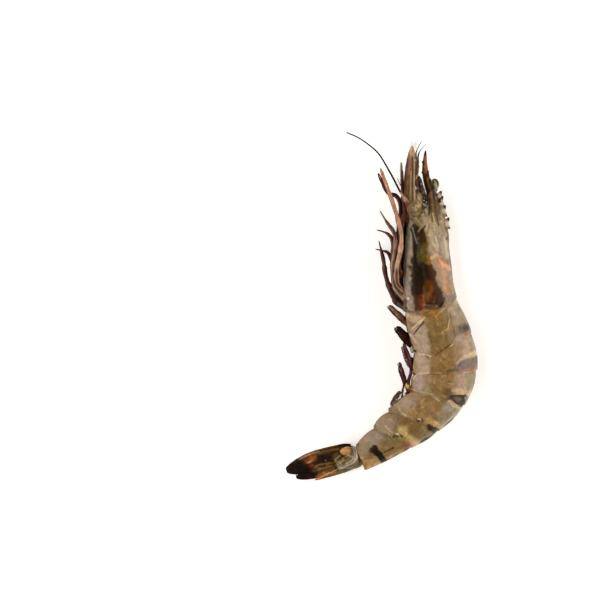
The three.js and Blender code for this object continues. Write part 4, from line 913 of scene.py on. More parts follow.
# %% The dark front of the head
count = 110
path = curve([[17.0, 35, 9.6], [16.4, 42, 9.6], [16.4, 47, 9.4], [17.6, 51, 9.2]], count)
wide = eased([6.8, 6.0, 5.0, 2.6], count) * rounded(count, 0.5, 1.0, 0.2)
plug_rows = bumpy(tube_rows(path, wide, eased([6.0, 6.2, 5.4, 3.0], count), 130), 0.9, 3.2, 90)
FRONT_MARKS = [
    ([(12.1, 42.7), (13.6, 40.0), (15.6, 39.2), (17.4, 41.4), (17.8, 44.0)], 0.5, -0.3),
    ([(12.5, 44.4), (14.3, 41.8)], 0.7, 0.25),
    ([(15.6, 48.4), (16.1, 44.0)], 0.6, 0.25),
    ([(13.4, 47.5), (13.9, 44.9)], 0.5, -0.2),
]
plug = loft(pushed(plug_rows, relief(plug_rows, FRONT_MARKS)))
FRONT_STROKES = [
    # the rounded base of the feelers, tan, over the dark mouth parts
    ([(13.9, 47.5), (13.9, 40.5)], 3.4, "#8c7248", 1.4),
    ([(16.1, 49.7), (16.5, 44.4)], 1.6, "#ab9068", 0.95),
    ([(13.0, 47.1), (13.4, 44.9)], 0.7, "#6a4e2c", 0.8),
    ([(14.3, 45.8), (15.2, 41.4)], 0.45, "#c4ac80", 0.8),
    ([(15.2, 47.1), (16.9, 45.3)], 0.35, "#6a4f30", 0.8),
    ([(12.1, 41.8), (13.4, 40.5)], 0.5, "#c2ab84", 0.8),
    ([(14.7, 40.9), (16.1, 42.2)], 0.4, "#5c4424", 0.7),
    ([(11.4, 45.8), (11.4, 43.6)], 1.3, "#5e1f14", 0.9),
    ([(13.0, 45.3), (12.4, 43.1)], 0.5, "#6e4a30", 0.7),
    ([(12.5, 44.4), (14.3, 41.8)], 0.6, "#bba57e", 0.7),
    ([(13.4, 44.9), (15.2, 43.1)], 0.35, "#5a4020", 0.8),
    ([(11.9, 42.2), (13.6, 39.6), (15.6, 38.7), (17.4, 40.9), (17.8, 44.0)], 0.5, "#4f3a1e", 0.85),
    ([(18.7, 51.0), (19.0, 43.6)], 1.4, "#0f0a08", 1.0),
    ([(19.6, 44.0)], 1.0, "#7d7c6a", 0.9),
] + [([bead], 0.27, "#dcd4cc", 0.85)
     for bead in ((18.5, 50.0), (19.3, 49.1), (18.9, 47.5), (19.8, 47.5), (18.5, 46.2), (19.6, 45.6),
                  (18.2, 44.7))]
make_piece("head_front_tissue", plug, paint(plug[0], "#1a130e", FRONT_EDGE + FRONT_STROKES, 0.6, 92),
           TISSUE, ["carapace"])

# %% [markdown]
# ## Beak and crest
#
# The beak, or rostrum, is a narrow upright plate that grows forward from the middle of the
# back, with saw teeth on top and two below. Its teeth run back over the head shell as a
# low crest. The plate is lofted along the beak's line as a thin upright blade with a rib
# on each side, and each tooth is a small cone with a dark point, leaning forward.

# %% Beak
BEAK_LINE = [[25.6, 40], [22.9, 46.9], [20.2, 54.6], [19.1, 61.2], [19.4, 68.6]]
BEAK_DEPTH, BEAK_HALF, BEAK_ROWS = 4.8, 0.95, 110
s = np.linspace(0, 1, BEAK_ROWS)
line = even_path(BEAK_LINE, BEAK_ROWS)
beak_path = np.concatenate([line, np.full((BEAK_ROWS, 1), HEAD_MID)], axis=1)
half_depth = BEAK_DEPTH / 2 * (1 - s) ** 0.55 + 0.1
rib = np.array([[1, 0.0], [0.82, 0.55], [0.45, 0.5], [0.12, 0.95], [-0.12, 0.95], [-0.45, 0.5],
                [-0.82, 0.55], [-1, 0.0]])
rib = np.concatenate([rib, rib[-2:0:-1] * [1, -1]])
beak_rows = sweep(beak_path, rib[:, 0] * half_depth[:, None],
                  rib[:, 1] * (BEAK_HALF * (1 - 0.75 * s))[:, None])
beak = loft(bumpy(beak_rows, 0.12, 1.6, 95))
along, across, _ = frame_along(beak_path)
BEAK_STROKES = [
    (BEAK_LINE[:3], 1.8, "#46300f", 1.2),
    ([(20.3, 54.6), (19.8, 58.1)], 1.7, "#553210", 1.0),
    ([(19.6, 59.4), (19.3, 65.1)], 1.5, "#94562c", 1.0),
    ([(19.5, 64.2), (19.3, 61.2)], 0.8, "#b06a40", 0.85),
    ([(19.4, 69.5), (19.4, 67.1)], 1.1, "#241a14", 1.4),
    ([(18.7, 64.2), (18.3, 59.0), (19.6, 53.7), (20.7, 48.4)], 0.3, "#24150b", 0.9),
    ([(20.6, 59.8), (22.0, 54.1), (23.3, 50.2)], 0.3, "#2f1b0e", 0.8),
    ([(20.2, 56.3), (21.6, 51.0)], 0.4, "#93683a", 0.6),
    ([(22.4, 51.0), (23.5, 47.5)], 0.4, "#8a8d92", 0.8),
    ([(21.8, 48.4), (23.1, 44.0)], 1.2, "#6d5226", 0.8),
]


def tooth(root, tip, wide, thick=0.75, count=12):
    """A cone that bends from root to tip, with a rounded point."""
    root, tip = np.array(root, float), np.array(tip, float)
    bend = (root + tip) / 2 + 0.12 * np.array([-(tip - root)[1], (tip - root)[0], 0])
    path = curve([root, bend, tip], count)
    size = (1 - np.linspace(0, 1, count)) ** 0.75 + 0.06
    return loft(tube_rows(path, wide * size, thick * size, 10))


teeth, tooth_tips = [], []


def add_tooth(place, forward, up, length, height, wide):
    """One more tooth, from just inside place to length forward and height up."""
    tip = place + forward * length + up * height
    teeth.append(tooth([*(place - up * 0.5), HEAD_MID], [*tip, HEAD_MID], wide))
    tooth_tips.append(tip)


# five teeth on top of the beak, then two below it
for places, way, length, height, wide in (((0.16, 0.27, 0.38, 0.5, 0.63), 1, 1.9, 0.5, 0.7),
                                          ((0.66, 0.8), -1, 1.3, 0.3, 0.5)):
    for where in places:
        k = int(where * (BEAK_ROWS - 1))
        up = way * across[k, :2]
        add_tooth(line[k] + up * half_depth[k] * 0.9, along[k, :2], up, length, height, wide)

# %% Crest
CREST_ROWS = 90
crest_v = np.linspace(-0.15, 1.62, CREST_ROWS)
crest_base = body_point(crest_v, 1.0, 0)[:, :2]
crest_up = crest_base - body_point(crest_v, 0.9, 0)[:, :2]
crest_up /= np.linalg.norm(crest_up, axis=1, keepdims=True)
crest_high = 0.75 * smooth(1.62, 1.2, crest_v) * smooth(-0.15, 0.1, crest_v)
crest_path = np.concatenate([crest_base + crest_up * (crest_high / 2 - 0.4)[:, None],
                             np.full((CREST_ROWS, 1), HEAD_MID)], axis=1)
crest = loft(tube_rows(crest_path, crest_high / 2 + 0.5, 0.75 * rounded(CREST_ROWS, 1, 1, 0.1), 16))
for v in (1.0, 0.62, 0.32, 0.12):
    k = int(np.argmin(np.abs(crest_v - v)))
    forward = crest_base[k - 3] - crest_base[k + 3]
    forward /= np.linalg.norm(forward)
    add_tooth(crest_base[k] + crest_up[k] * 0.3, forward, crest_up[k], 4.2, 2.1, 2.1)
body = merge(beak, crest, *teeth)
strokes = [(crest_base[::12], 1.3, "#a98a70", 0.9)] + BEAK_STROKES
strokes += [([tip + [-0.6, -1.9], tip + [-0.8, -3.0]], 1.2, "#dcc4b2", 0.95) for tip in tooth_tips[-4:]]
strokes += [([tip, tip + [-0.1, -1.1]], 0.75, "#120c07", 1.3) for tip in tooth_tips]
make_piece("beak_and_crest", body, paint(body[0], "#5e3d22", strokes, 0.4, 96), HEAD_CHITIN,
           ["carapace"])
print("teeth:", len(teeth))

# %% [markdown]
# ## Eyes
#
# Each eye is a dark glossy egg on a short stalk that swings out sideways from under the
# beak. Its surface is thousands of tiny lenses, far too fine to see here, so it is a
# smooth egg with soft dents. A paler skin comes up over its rear edge as a cup.

# %% Eyes
def egg(centre, radii, direction, rows=40, around=40):
    """A closed egg with its long axis along a direction in the plan."""
    direction = np.array([*direction, 0.0]) / np.hypot(*direction)
    angle = np.pi * np.linspace(0.01, 0.99, rows)
    path = np.array(centre) - direction * (np.cos(angle) * radii[1])[:, None]
    return tube_rows(path, radii[0] * np.sin(angle), radii[2] * np.sin(angle), around)


EYE_FINISH = wet_material("wet_eye", roughness=0.3, coat=0.3, dents=0.25, clouds=0.4, under=0.02)
EYES = {
    # stalk root, eye centre, radii, direction, colours of the eye and its cup, strokes
    "eye_left": ([20.2, 45.4, 12.2], [16.2, 53.8, 14.4], [1.75, 4.0, 1.9], (-0.25, 1), "#26110b",
                 "#8d7457", [
        ([(15.4, 56.1), (15.2, 53.7)], 0.9, "#4e2c16", 0.8),
        ([(16.7, 53.2), (17.2, 50.6)], 1.0, "#220c0a", 0.9),
        ([(15.4, 52.4), (16.1, 51.0)], 0.3, "#8a6a70", 0.8),
        ([(17.2, 53.5)], 0.3, "#c8b8b4", 0.8),
        ([(14.7, 55.9), (15.4, 57.2), (16.7, 57.4)], 0.5, "#b7a68c", 0.9)]),
    "eye_right": ([22.8, 45.6, 7.0], [23.5, 53.5, 6.2], [2.0, 2.8, 2.4], (0.1, 1), "#8c8468",
                  "#3c2a1c", [
        ([(21.6, 55.0), (22.7, 56.3), (24.4, 55.7), (25.3, 53.2)], 0.6, "#1e150e", 1.3),
        ([(23.1, 54.8), (22.8, 52.4)], 0.4, "#2a1e14", 1.0),
        ([(21.9, 54.1), (22.4, 52.4)], 0.55, "#d8c2b4", 0.9),
        ([(23.5, 53.7), (24.2, 51.9)], 0.8, "#a5a288", 0.8),
        ([(23.1, 51.0), (24.4, 49.3)], 0.9, "#cbb49c", 0.85),
        ([(24.2, 49.5)], 0.5, "#a23a2a", 0.8),
        ([(22.7, 51.9), (23.3, 51.0)], 0.4, "#2c1a12", 0.9)]),
}
for name, (root, centre, radii, direction, dark, cup, marks) in EYES.items():
    ball = loft(bumpy(egg(centre, radii, direction, 60, 60), 0.1, 1.8, 99))
    count = 24
    middle = np.array(root) * 0.45 + np.array(centre) * 0.55 + [0.2, 0, 0]
    path = spline([root, middle, centre], np.linspace(0, 1.55, count))
    wide = eased([1.0, 0.85, radii[0] * 0.8], count)
    stalk = loft(bumpy(tube_rows(path, wide, wide, 24), 0.15, 1.5, 101))
    rear_end = np.array(centre[:2]) - np.array(direction) * radii[1]
    marks = [([rear_end], 1.5, cup, 0.6)] + marks
    colours = np.concatenate([paint(ball[0], dark, marks, 0.5, 102),
                              paint(stalk[0], "#2c1c12", marks, 0.5, 103)])
    make_piece(f"{name}_ball", merge(ball, stalk), colours, EYE_FINISH, [name])
print("eyes:", len(EYES))

# %% [markdown]
# ## Feeler scales and feelers
#
# Beside the beak stand two long flat scales, stiff leaves with ribs along them and a
# fringe at the tip. Beneath them are the small feelers, three thick joints and two short
# whips, and the long feelers, whose whips trail well clear of the head. The scale is a
# lofted leaf, thicker at its ribs. The whips are thin tapered tubes with ring marks cut by
# a wave in their radius.

# %% Feeler scales
SCALE_PATH = [[13.9, 41.4], [12.4, 48], [12.5, 57], [13.4, 70.2]]
SCALE_STROKES = [
    ([(13.4, 71.7), (13.6, 67.8)], 2.4, "#e8c49a", 1.3),
    ([(13.2, 66.4), (13.4, 64.7)], 2.0, "#c09470", 0.8),
    ([(12.5, 63.4), (12.8, 59.8)], 1.9, "#87594a", 0.9),
    ([(11.4, 57.2), (10.8, 48.4)], 1.3, "#66441f", 0.95),
    ([(13.2, 57.2), (13.0, 46.6)], 1.5, "#86693f", 0.9),
    ([(14.7, 56.3), (15.2, 46.6)], 1.5, "#8a6f48", 0.8),
    ([(11.2, 64.2), (10.5, 59.0), (9.9, 51.0)], 0.5, "#3a1a18", 0.9),
    ([(11.4, 63.4), (10.8, 59.0)], 0.35, "#6a4a50", 0.6),
    ([(12.7, 59.0), (12.5, 51.0), (12.8, 46.6)], 0.24, "#b89e72", 0.7),
    ([(14.2, 64.2), (14.2, 55.4), (14.3, 45.8)], 0.26, "#c4aa80", 0.75),
    ([(13.4, 65.1), (13.4, 46.6)], 0.4, "#38220f", 0.85),
    ([(14.7, 67.8), (14.7, 59.0), (14.9, 51.0)], 0.45, "#3a2417", 0.8),
    ([(11.9, 57.2), (11.7, 46.6)], 0.3, "#38200f", 0.7),
    ([(12.1, 68.6), (11.7, 64.2)], 0.4, "#7a5a44", 0.7),
    ([(11.7, 45.3), (9.9, 42.2)], 0.9, "#6d2418", 0.85),
]
SCALE_ROWS = 90
s = np.linspace(0, 1, SCALE_ROWS)
plan = even_path(SCALE_PATH, SCALE_ROWS)
wide = 2.5 * (1 - 0.28 * s) * (1 - s ** 5) ** 0.6 + 0.2
angle = circle(48)
place = np.cos(angle)  # -1 to 1 across the leaf
ribs = 0.4 + 0.4 * ridge(place, -0.3, 0.12) + 0.35 * ridge(place, 0.25, 0.1) \
    + 0.3 * ridge(place, 0.7, 0.12)
thick = np.sin(angle) * ribs * rounded(SCALE_ROWS, 0.3, 0.9, 0.1)[:, None]
# The right scale lies below the head, on the table side, so its copy of the strokes is darkened as painted
# shade.
for name, sign, painted_shade in (("feeler_scale_left", 1, 1.0), ("feeler_scale_right", -1, 0.6)):
    rise = HEAD_MID + sign * (6.6 - 1.4 * (1 - s))
    rows = sweep(np.concatenate([plan, rise[:, None]], axis=1), place * wide[:, None], thick)
    rows[..., 2] += sign * (0.5 * place ** 2 - 0.25)
    leaf = loft(bumpy(rows, 0.07, 1.3, 110 + sign))
    colours = paint(leaf[0], "#7d6148", SCALE_STROKES, 0.4, 115) * painted_shade
    make_piece(f"{name}_leaf", leaf, colours, LIMB_CHITIN, [name])

# %% Small feelers
def segmented(points, radius, count, joints, taper, seed=0, around=16):
    """A tapered limb with swollen joints at the given places along it."""
    s = np.linspace(0, 1, count)
    wide = radius * taper(s)
    for j in joints:
        wide = wide * (1 + 0.16 * ridge(s, j, 0.03) - 0.096 * ridge(s, j + 0.035, 0.02))
    wide = wide * rounded(count, 0.7, 0.9, 0.04)
    return bumpy(tube_rows(even_path(points, count), wide, wide, around), 0.06, 1.4, seed)


def stalk_taper(s):
    """Thickness along the thick joints of a small feeler."""
    return 1.1 - 0.45 * s


def whip_taper(s):
    """Thickness along a thin whip, with fine rings."""
    return (1.1 - 0.7 * s) * (1 + 0.12 * np.cos(s * 130))


# stalk, then upper and lower whip: x, y and height above the middle of the head
SMALL_FEELER = [[[16, 44.6, 1.6], [13.3, 50.5, 1.5], [15.3, 57.6, 1.8], [15.9, 64.6, 2.9]],
                [[15.8, 63.6, 2.9], [15.2, 67.4, 3.2], [17.8, 72.8, 2.8]],
                [[16, 63.6, 2.6], [16.6, 67.6, 2.0], [19.6, 71.4, 1.6]]]
SMALL_FEELER_STROKES = [
    ([(15.2, 65.6), (16.1, 69.5), (17.8, 73.0)], 1.7, "#5c5444", 1.6),
    ([(16.1, 66.0), (17.4, 69.1), (19.6, 71.7)], 1.7, "#6a6452", 1.6),
    ([(14.7, 48.8), (13.9, 59.8)], 1.2, "#46291d", 0.7),
]
for name, sign in (("small_feeler_left", 1), ("small_feeler_right", -1)):
    stalk, *whips = [[[x, y, HEAD_MID + sign * rise] for x, y, rise in line] for line in SMALL_FEELER]
    parts = [loft(segmented(stalk, 1.05, 60, [0.35, 0.62, 0.84], stalk_taper, 120))]
    parts += [loft(segmented(whip, 0.34, 60, [], whip_taper, 121, 8)) for whip in whips]
    body = merge(*parts)
    make_piece(f"{name}_rod", body, paint(body[0], "#6b4a33", SMALL_FEELER_STROKES, 0.5, 122), LIMB_CHITIN,
               [name])

# %% Long feelers
FEELERS = {
    # path, rows, stalk's half width and share of the length, how much the whip thins
    "feeler_left": ([[11.2, 45, 17.9], [9.5, 47.5, 17.8], [7.9, 50.1, 16.8], [5.7, 54.7, 14.3],
                     [3.4, 59.2, 11.7], [-1, 66.9, 7.6], [-5.3, 71.1, 4.6], [-10, 74.5, 2.4],
                     [-15.4, 77, 0.9]], 260, 1.0, 0.1, 0.4),
    "feeler_right": ([[12.2, 41, 7.3], [10.8, 45.4, 8], [9.6, 50.4, 8.2], [7, 56.4, 7.2]],
                     110, 1.2, 0.38, 0.8),
}
FEELER_STROKES = [
    ([(11.4, 44.9), (9.5, 47.5), (8.4, 48.8)], 1.3, "#b08c76", 0.95),
    ([(11.2, 44.4), (10.6, 45.3)], 0.7, "#6d241a", 0.8),
]
for name, (points, count, stalk_half, stalk_share, thinning) in FEELERS.items():
    s = np.linspace(0, 1, count)
    stalk = stalk_half * (1 - smooth(stalk_share * 0.3, stalk_share * 1.3, s))
    whip = 0.46 * (1.05 - thinning * s) * (1 + 0.1 * np.cos(s * count * 1.05))
    wide = np.maximum(stalk, whip) * rounded(count, 0.5, 0.9, 0.02)
    body = loft(tube_rows(even_path(points, count), wide, wide, 12))
    make_piece(f"{name}_whip", body, paint(body[0], "#150c08", FEELER_STROKES, 0.4, 125), FEELER_CHITIN,
               [name])

# %% [markdown]
# ## Walking legs and mouth limbs
#
# Five pairs of walking legs fold back or reach forward under the head; the first three
# pairs end in small pincers. In front of them the long mouth limbs lie along the feelers.
# A leg is a chain of tubes, each a bit thicker at its joint, with a paler skin at the
# joints, so it is one loft with swellings and painted joints. Its upper side is pale; its
# wine red edges are painted shade on the sides that face down, and a painted highlight
# runs as a bright line near each edge. The pincers are two curved cones. The hips sit
# close together in a dark row beside the head shell, their near-black colour painted
# shade in the recess under it.

# %% Walking legs
LEGS = {
    "leg_left_1": [[11.6, 18, 12.2], [8.4, 22, 12.6], [8, 29, 12.8], [8.8, 36, 12.8]],
    "leg_left_2": [[11.4, 12, 12.6], [7.6, 16, 15.4], [7.8, 25, 15.4], [9.2, 36.5, 15]],
    "leg_left_3": [[11.4, 5.5, 12.8], [7, 9.4, 16.2], [6.4, 16.5, 17.8], [8, 24, 18.4], [8.3, 32, 18.6],
                   [5.3, 43.3, 17.4], [0.9, 56.2, 14.2]],
    "leg_left_4": [[11.6, 1.6, 12.4], [6, 8.2, 12.9], [4.9, 18, 14.4], [6, 26.5, 14.4], [5.4, 32, 14],
                   [2.2, 36.9, 12.4], [-0.9, 42.2, 10.4]],
    "leg_left_5": [[11.8, -1.4, 11.2], [7, 1.2, 11.2], [4.2, 6.2, 11.3], [1.8, 13.5, 11.2],
                   [0.8, 20.4, 10.2], [-1.2, 29, 8.6]],
    "leg_right_1": [[11.6, 18, 7.2], [8.8, 22, 7.2], [8.2, 30, 7.8], [8.4, 39, 8]],
    "leg_right_2": [[11.4, 12, 6.6], [8.2, 16, 3.6], [7.4, 25, 2.8], [9, 36, 2.4], [9.2, 44, 2.2]],
    "leg_right_3": [[11.4, 6.4, 7.6], [8, 9.6, 9.2], [5.6, 20, 10.9], [7.6, 34, 10.6], [8.3, 44, 10.6],
                    [6.4, 48.4, 10.4], [2.8, 49.6, 10], [0.4, 54.2, 9.4]],
    "leg_right_4": [[11.6, 1.6, 6.4], [7.4, 7.2, 5.2], [5.6, 18, 6], [5, 28.2, 6.2], [3.4, 31.4, 5.9],
                    [0.4, 33, 5], [-2.2, 33.6, 4]],
    "leg_right_5": [[11.8, -1.4, 7.6], [7.8, 2.4, 3.2], [5.6, 11.5, 2.1], [4.9, 19, 2.3], [3.2, 23.4, 2.5],
                    [0, 24.6, 2.2], [-2.6, 25.2, 1.8]],
}
LEG_RADIUS = 1.12
LEG_ROWS = 34  # for each stretch between two points
LEG_JOINTS = [0.2, 0.42, 0.64, 0.86]
CLAW_START, CLAW_TAPER = 0.76, 0.75
# Tones of each leg: base, upper side, and the deep edge tone that the painted shade on the lower sides
# turns to.
LEG_TONES = {  # base, upper side, edges
    # The right legs lie under the left ones, and the first two left legs tuck in under the head shell;
    # their darker tones are partly painted shade.
    "leg_left_1": ("#4d2015", "#6b3222", "#26100c"), "leg_left_2": ("#512015", "#733a28", "#28100c"),
    "leg_left_3": ("#9a6238", "#c08a68", "#33190f"), "leg_left_4": ("#8a6653", "#bd957c", "#35160f"),
    "leg_left_5": ("#45201c", "#653630", "#1c0d0b"), "leg_right_1": ("#421b13", "#5f2d20", "#210e0a"),
    "leg_right_2": ("#3f1c13", "#5a2c1f", "#1f0e0a"), "leg_right_3": ("#3a150f", "#55241b", "#1c0a08"),
    "leg_right_4": ("#521c0c", "#7c3216", "#2a0e09"), "leg_right_5": ("#42161a", "#5a2426", "#200b0c"),
}
LEG_STROKES = {  # patches on some legs
    "leg_left_3": [
        ([(2.9, 50.6), (5.1, 44.0)], 1.2, "#c18a6c", 0.6),
        ([(5.9, 40.9), (6.8, 38.3)], 1.0, "#c07a62", 0.7),
        ([(7.3, 37.0), (8.6, 30.8), (7.9, 24.6)], 1.5, "#bd9678", 0.85),
        ([(7.3, 23.8), (6.4, 17.6)], 1.3, "#cdab86", 0.85),
        ([(6.6, 16.7), (6.4, 15.0)], 1.2, "#dcc29a", 0.8),
        ([(6.6, 14.5), (7.0, 11.0), (8.4, 7.0)], 2.6, "#553a2d", 1.3),
        ([(8.3, 6.6), (9.0, 4.8)], 1.3, "#b48e6c", 0.9),
        ([(-0.2, 56.3), (0.2, 54.1)], 0.9, "#c09a68", 0.8),
        ([(-1.5, 59.8), (-0.7, 57.6)], 1.0, "#8a6a48", 0.8),
    ],
    "leg_left_4": [
        ([(5.3, 32.1), (3.3, 35.2), (-0.9, 42.2)], 2.6, "#46161c", 1.0),
        ([(5.5, 30.4), (4.6, 24.6)], 0.9, "#45171d", 0.9),
        ([(4.7, 19.4), (4.8, 15.8)], 1.0, "#7a5e4e", 0.8),
        ([(4.8, 14.5), (5.5, 9.7), (7.1, 6.6)], 2.4, "#513629", 1.2),
        ([(5.9, 6.2), (7.7, 1.8)], 1.6, "#767a66", 0.9),
    ],
    "leg_left_5": [
        ([(4.2, 6.2), (7.3, 1.3)], 0.8, "#2b2a22", 0.8),
        ([(7.3, 0.9), (9.9, -1.8)], 1.2, "#8b8a72", 0.7),
    ],
}


def limb_colours(body, tones, joints=(), strokes=(), painted_highlight=0.55):
    """Colours by how far each point faces up: painted shade darkens the lower sides to the edge tone, and
    a painted highlight line runs on each side just below the top.
    """
    points = body[0]
    base, upper, edge = (linear(c) for c in tones)
    cloud = rough_noise(points, 2.4, 130)
    share = smooth(-0.5, 0.8, cloud)[:, None]
    colours = base * (1 - share) + upper * share
    if strokes:
        masks = [(path, width, "#ffffff", strength) for path, width, _, strength in strokes]
        patch = paint(points, "#000000", masks, 0.5, 132)[:, :1]
        colours = colours * (1 - patch) + paint(points, tones[0], strokes, 0.5, 132) * patch
    around = body[1][0][0].max() - 1  # points in each row of the loft
    z = points[:-2, 2].reshape(-1, around)
    bottom, top = z.min(axis=1, keepdims=True), z.max(axis=1, keepdims=True)
    height = np.append((z - bottom) / np.maximum(top - bottom, 1e-6), [0, 0])
    # painted shade: the lower part of each ring, facing down, turns to the edge tone
    low = 0.85 * smooth(0.96, 0.7, height + 0.12 * cloud)[:, None]
    colours = colours * (1 - low) + edge * low
    # painted highlight: a bright line on each side just below the top
    line = painted_highlight * ridge(height - 0.02 * cloud, 0.9, 0.04)[:, None]
    colours = colours * (1 - line) + np.minimum(upper * 1.5, 1) * line
    for place, width, code in joints:
        near = 0.8 * ridge(np.linalg.norm(points - place, axis=1), 0, width)[:, None]
        colours = colours * (1 - near) + linear(code) * near
    return colours


def pincer(path, radius, length=4.8, count=22):
    """Two fingers past the end of a path, one fixed and one hinged."""
    tip, along = path[-1], path[-1] - path[-4]
    along /= np.linalg.norm(along)
    across = np.cross(along, [0, 0, 1.0])
    across /= np.linalg.norm(across)
    size = radius * (1.15 - 0.75 * np.linspace(0, 1, count)) * rounded(count, 0.3, 1, 0.15)
    lines = [[tip + along * ahead + across * aside * sign
              for ahead, aside in ((-0.9, 0.2), (0.5 * length, 0.38), (length, 0.1))] for sign in (1, -1)]
    return [loft(tube_rows(curve(line, count), size, size, 10)) for line in lines]


def leg_wide(s):
    """Thickness along a leg: stout at the hip, narrower to the foot, swollen at its joints."""
    return 1.2 - 0.5 * s + 0.07 * np.cos(10 * np.pi * s)


def claw_wide(s):
    """The same, ending in a thin claw."""
    return leg_wide(s) * (1 - CLAW_TAPER * np.clip((s - CLAW_START) / (1 - CLAW_START), 0, 1))


for name, points in LEGS.items():
    count = LEG_ROWS * (len(points) - 1)
    has_pincer = name[-1] in "123"
    rows = segmented(points, LEG_RADIUS, count, LEG_JOINTS, leg_wide if has_pincer else claw_wide, 131, 20)
    leg = loft(rows)
    joints = [(rows[int(j * (count - 1))].mean(axis=0), 0.75, "#a98a5e") for j in LEG_JOINTS[:3]]
    tones, strokes = LEG_TONES[name], LEG_STROKES.get(name, ())
    colours = limb_colours(leg, tones, joints if name[-1] in "345" else (), strokes)
    if has_pincer:
        fingers = merge(*pincer(even_path(points, 60), 0.45))
        leg = merge(leg, fingers)
        colours = np.concatenate([colours, shades(fingers, tones[0], tones[1], 1.5, 133)])
    make_piece(f"{name}_shell", leg, colours, LIMB_CHITIN, [name])
print("legs:", len(LEGS))

# %% Row of hips
count = 150
path = curve([(10.1, 39.6, 9.6), (9.3, 29.0, 10.6), (8.7, 19.4, 10.8), (8.6, 9.7, 10.8), (9.7, 2.6, 10)],
             count)
ends = rounded(count, 0.8, 0.8, 0.1)
wide = 1.5 + 0.25 * np.cos(np.linspace(0, 10 * np.pi, count))
hips = loft(bumpy(tube_rows(path, wide * ends, 1.9 * ends, 40), 0.35, 1.7, 137))
HIP_STROKES = [
    ([(8.6, 29.9), (8.1, 22.0)], 0.5, "#5e3426", 0.7),
    ([(9.7, 32.6), (9.5, 19.4)], 0.4, "#4c2a20", 0.6),
    ([(9.0, 16.7), (8.6, 9.7)], 0.5, "#54281f", 0.7),
    ([(9.0, 7.0), (9.9, 3.5)], 0.6, "#6b5a44", 0.6),
]
# The hips' near-black base is painted shade of the recess under the head shell; the strokes on it are
# lighter lines.
make_piece("hips", hips, paint(hips[0], "#26110b", HIP_STROKES, 0.5, 138), LIMB_CHITIN)

# %% Mouth limbs
MOUTH_LIMBS = {
    "mouth_limb_left": ([[12.6, 31.5, 12], [11, 39, 12.9], [9.3, 49, 13.2], [8.5, 63.2, 13.2]],
                        ("#431a12", "#6b3020", "#1f0d0a")),
    "mouth_limb_right": ([[12.6, 31.5, 7], [11, 39, 5.4], [9.6, 49, 5.1], [9.4, 60, 4.8]],
                         ("#40201a", "#5c3528", "#24100d")),
}


def mouth_taper(s):
    """Thickness along a mouth limb."""
    return 1.05 - 0.62 * s


for name, (points, tones) in MOUTH_LIMBS.items():
    limb = loft(segmented(points, 1.15, 110, [0.25, 0.5, 0.74], mouth_taper, 135, 20))
    colours = limb_colours(limb, tones, [(np.array(points[-1]) - [0, 0.8, 0], 3.0, "#a6ab8e")])
    make_piece(f"{name}_shell", limb, colours, LIMB_CHITIN, [name])
print("mouth limbs:", len(MOUTH_LIMBS))

# %% [markdown]
# ## Swimming legs
#
# Under each of the first five rings hangs a pair of swimming legs, flat paddles in a dark
# wine red, fringed with hairs. On a dead prawn they fold forward against the belly and
# cover each other. Each one is a flattened tube from its root to a bend and on to its
# tip, with a second, narrower blade beside it. The yellow skins at their roots show
# between the flaps of the rings.

# %% Swimming legs
SWIMMERS = [  # root, bend and tip in the plan, breadth, and tones as for the legs
    ([[15.2, -11], [8.1, -4.4], [3.4, 0.2]], 1, ("#6a452c", "#8a6248", "#2a140d")),
    ([[15.6, -19.4], [11.2, -14.4], [6.6, -9.2]], 1.45, ("#26100b", "#3a1712", "#120705")),
    ([[15.4, -30.6], [12, -24.4], [9.8, -17.6]], 0.8, ("#421a1d", "#6a3439", "#1a0a0a")),
    ([[12.4, -39.4], [10.2, -32.4], [8.1, -24.8]], 0.6, ("#431a1a", "#66342f", "#1f0b0a")),
    ([[6.6, -47.6], [5.2, -43], [8.4, -37.6]], 0.75, ("#5a4034", "#745648", "#33211a")),
]
SWIMMER_SPREAD = 4.6  # how far each stands from the middle of the body
SWIMMER_ROWS, SECOND_START = 70, 22
s = np.linspace(0, 1, SWIMMER_ROWS)
swell = (0.5 + 0.55 * np.sin(np.pi * (0.18 + 0.78 * s))) * rounded(SWIMMER_ROWS, 0.3, 0.8, 0.08)
pinch = 1 - 0.25 * ridge(s, 0.45, 0.04)
second_swell = swell[SECOND_START:]
second_ends = rounded(SWIMMER_ROWS - SECOND_START, 0.5, 0.9, 0.1)
swimmer_paths = {}
for i, (plan, breadth, tones) in enumerate(SWIMMERS):
    mid = spline(SECTIONS, HEAD_END + i + 0.5)[4] - FLAT_DEPTH
    for sign, side_name in ((1, "left"), (-1, "right")):
        name = f"swimmer_{side_name}_{i + 1}"
        apart = SWIMMER_SPREAD * (1 - 0.07 * i) * sign
        path = even_path([[*p, mid + apart * k] for p, k in zip(plan, (0.75, 1.0, 1.05))], SWIMMER_ROWS)
        rows = tube_rows(path, 1.35 * breadth * swell * pinch, 0.85 * swell, 36, (0.25, 0.1, 1))
        paddle = loft(bumpy(rows, 0.24, 1.1, 140 + i))
        away = np.array([-0.6, -0.25, -0.35 * sign]) * (0.35 if i == 4 else 0.8)
        beside = path[SECOND_START:] + away * (0.4 + s[SECOND_START:, None])
        wide, thick = 1.15 * breadth * second_swell * second_ends, 0.5 * second_swell
        second = loft(bumpy(tube_rows(beside, wide, thick, 32, (-0.3, 0.2, 1)), 0.22, 1.0, 150 + i))
        colours = np.concatenate([limb_colours(paddle, tones, [(path[0], 1.2, "#b5985a")], painted_highlight=0.12),
                                  limb_colours(second, tones, painted_highlight=0.12)])
        make_piece(f"{name}_paddle", merge(paddle, second), colours, SWIMMER_CHITIN,
                   [name])
        swimmer_paths[name] = path
print("swimming legs:", len(swimmer_paths))

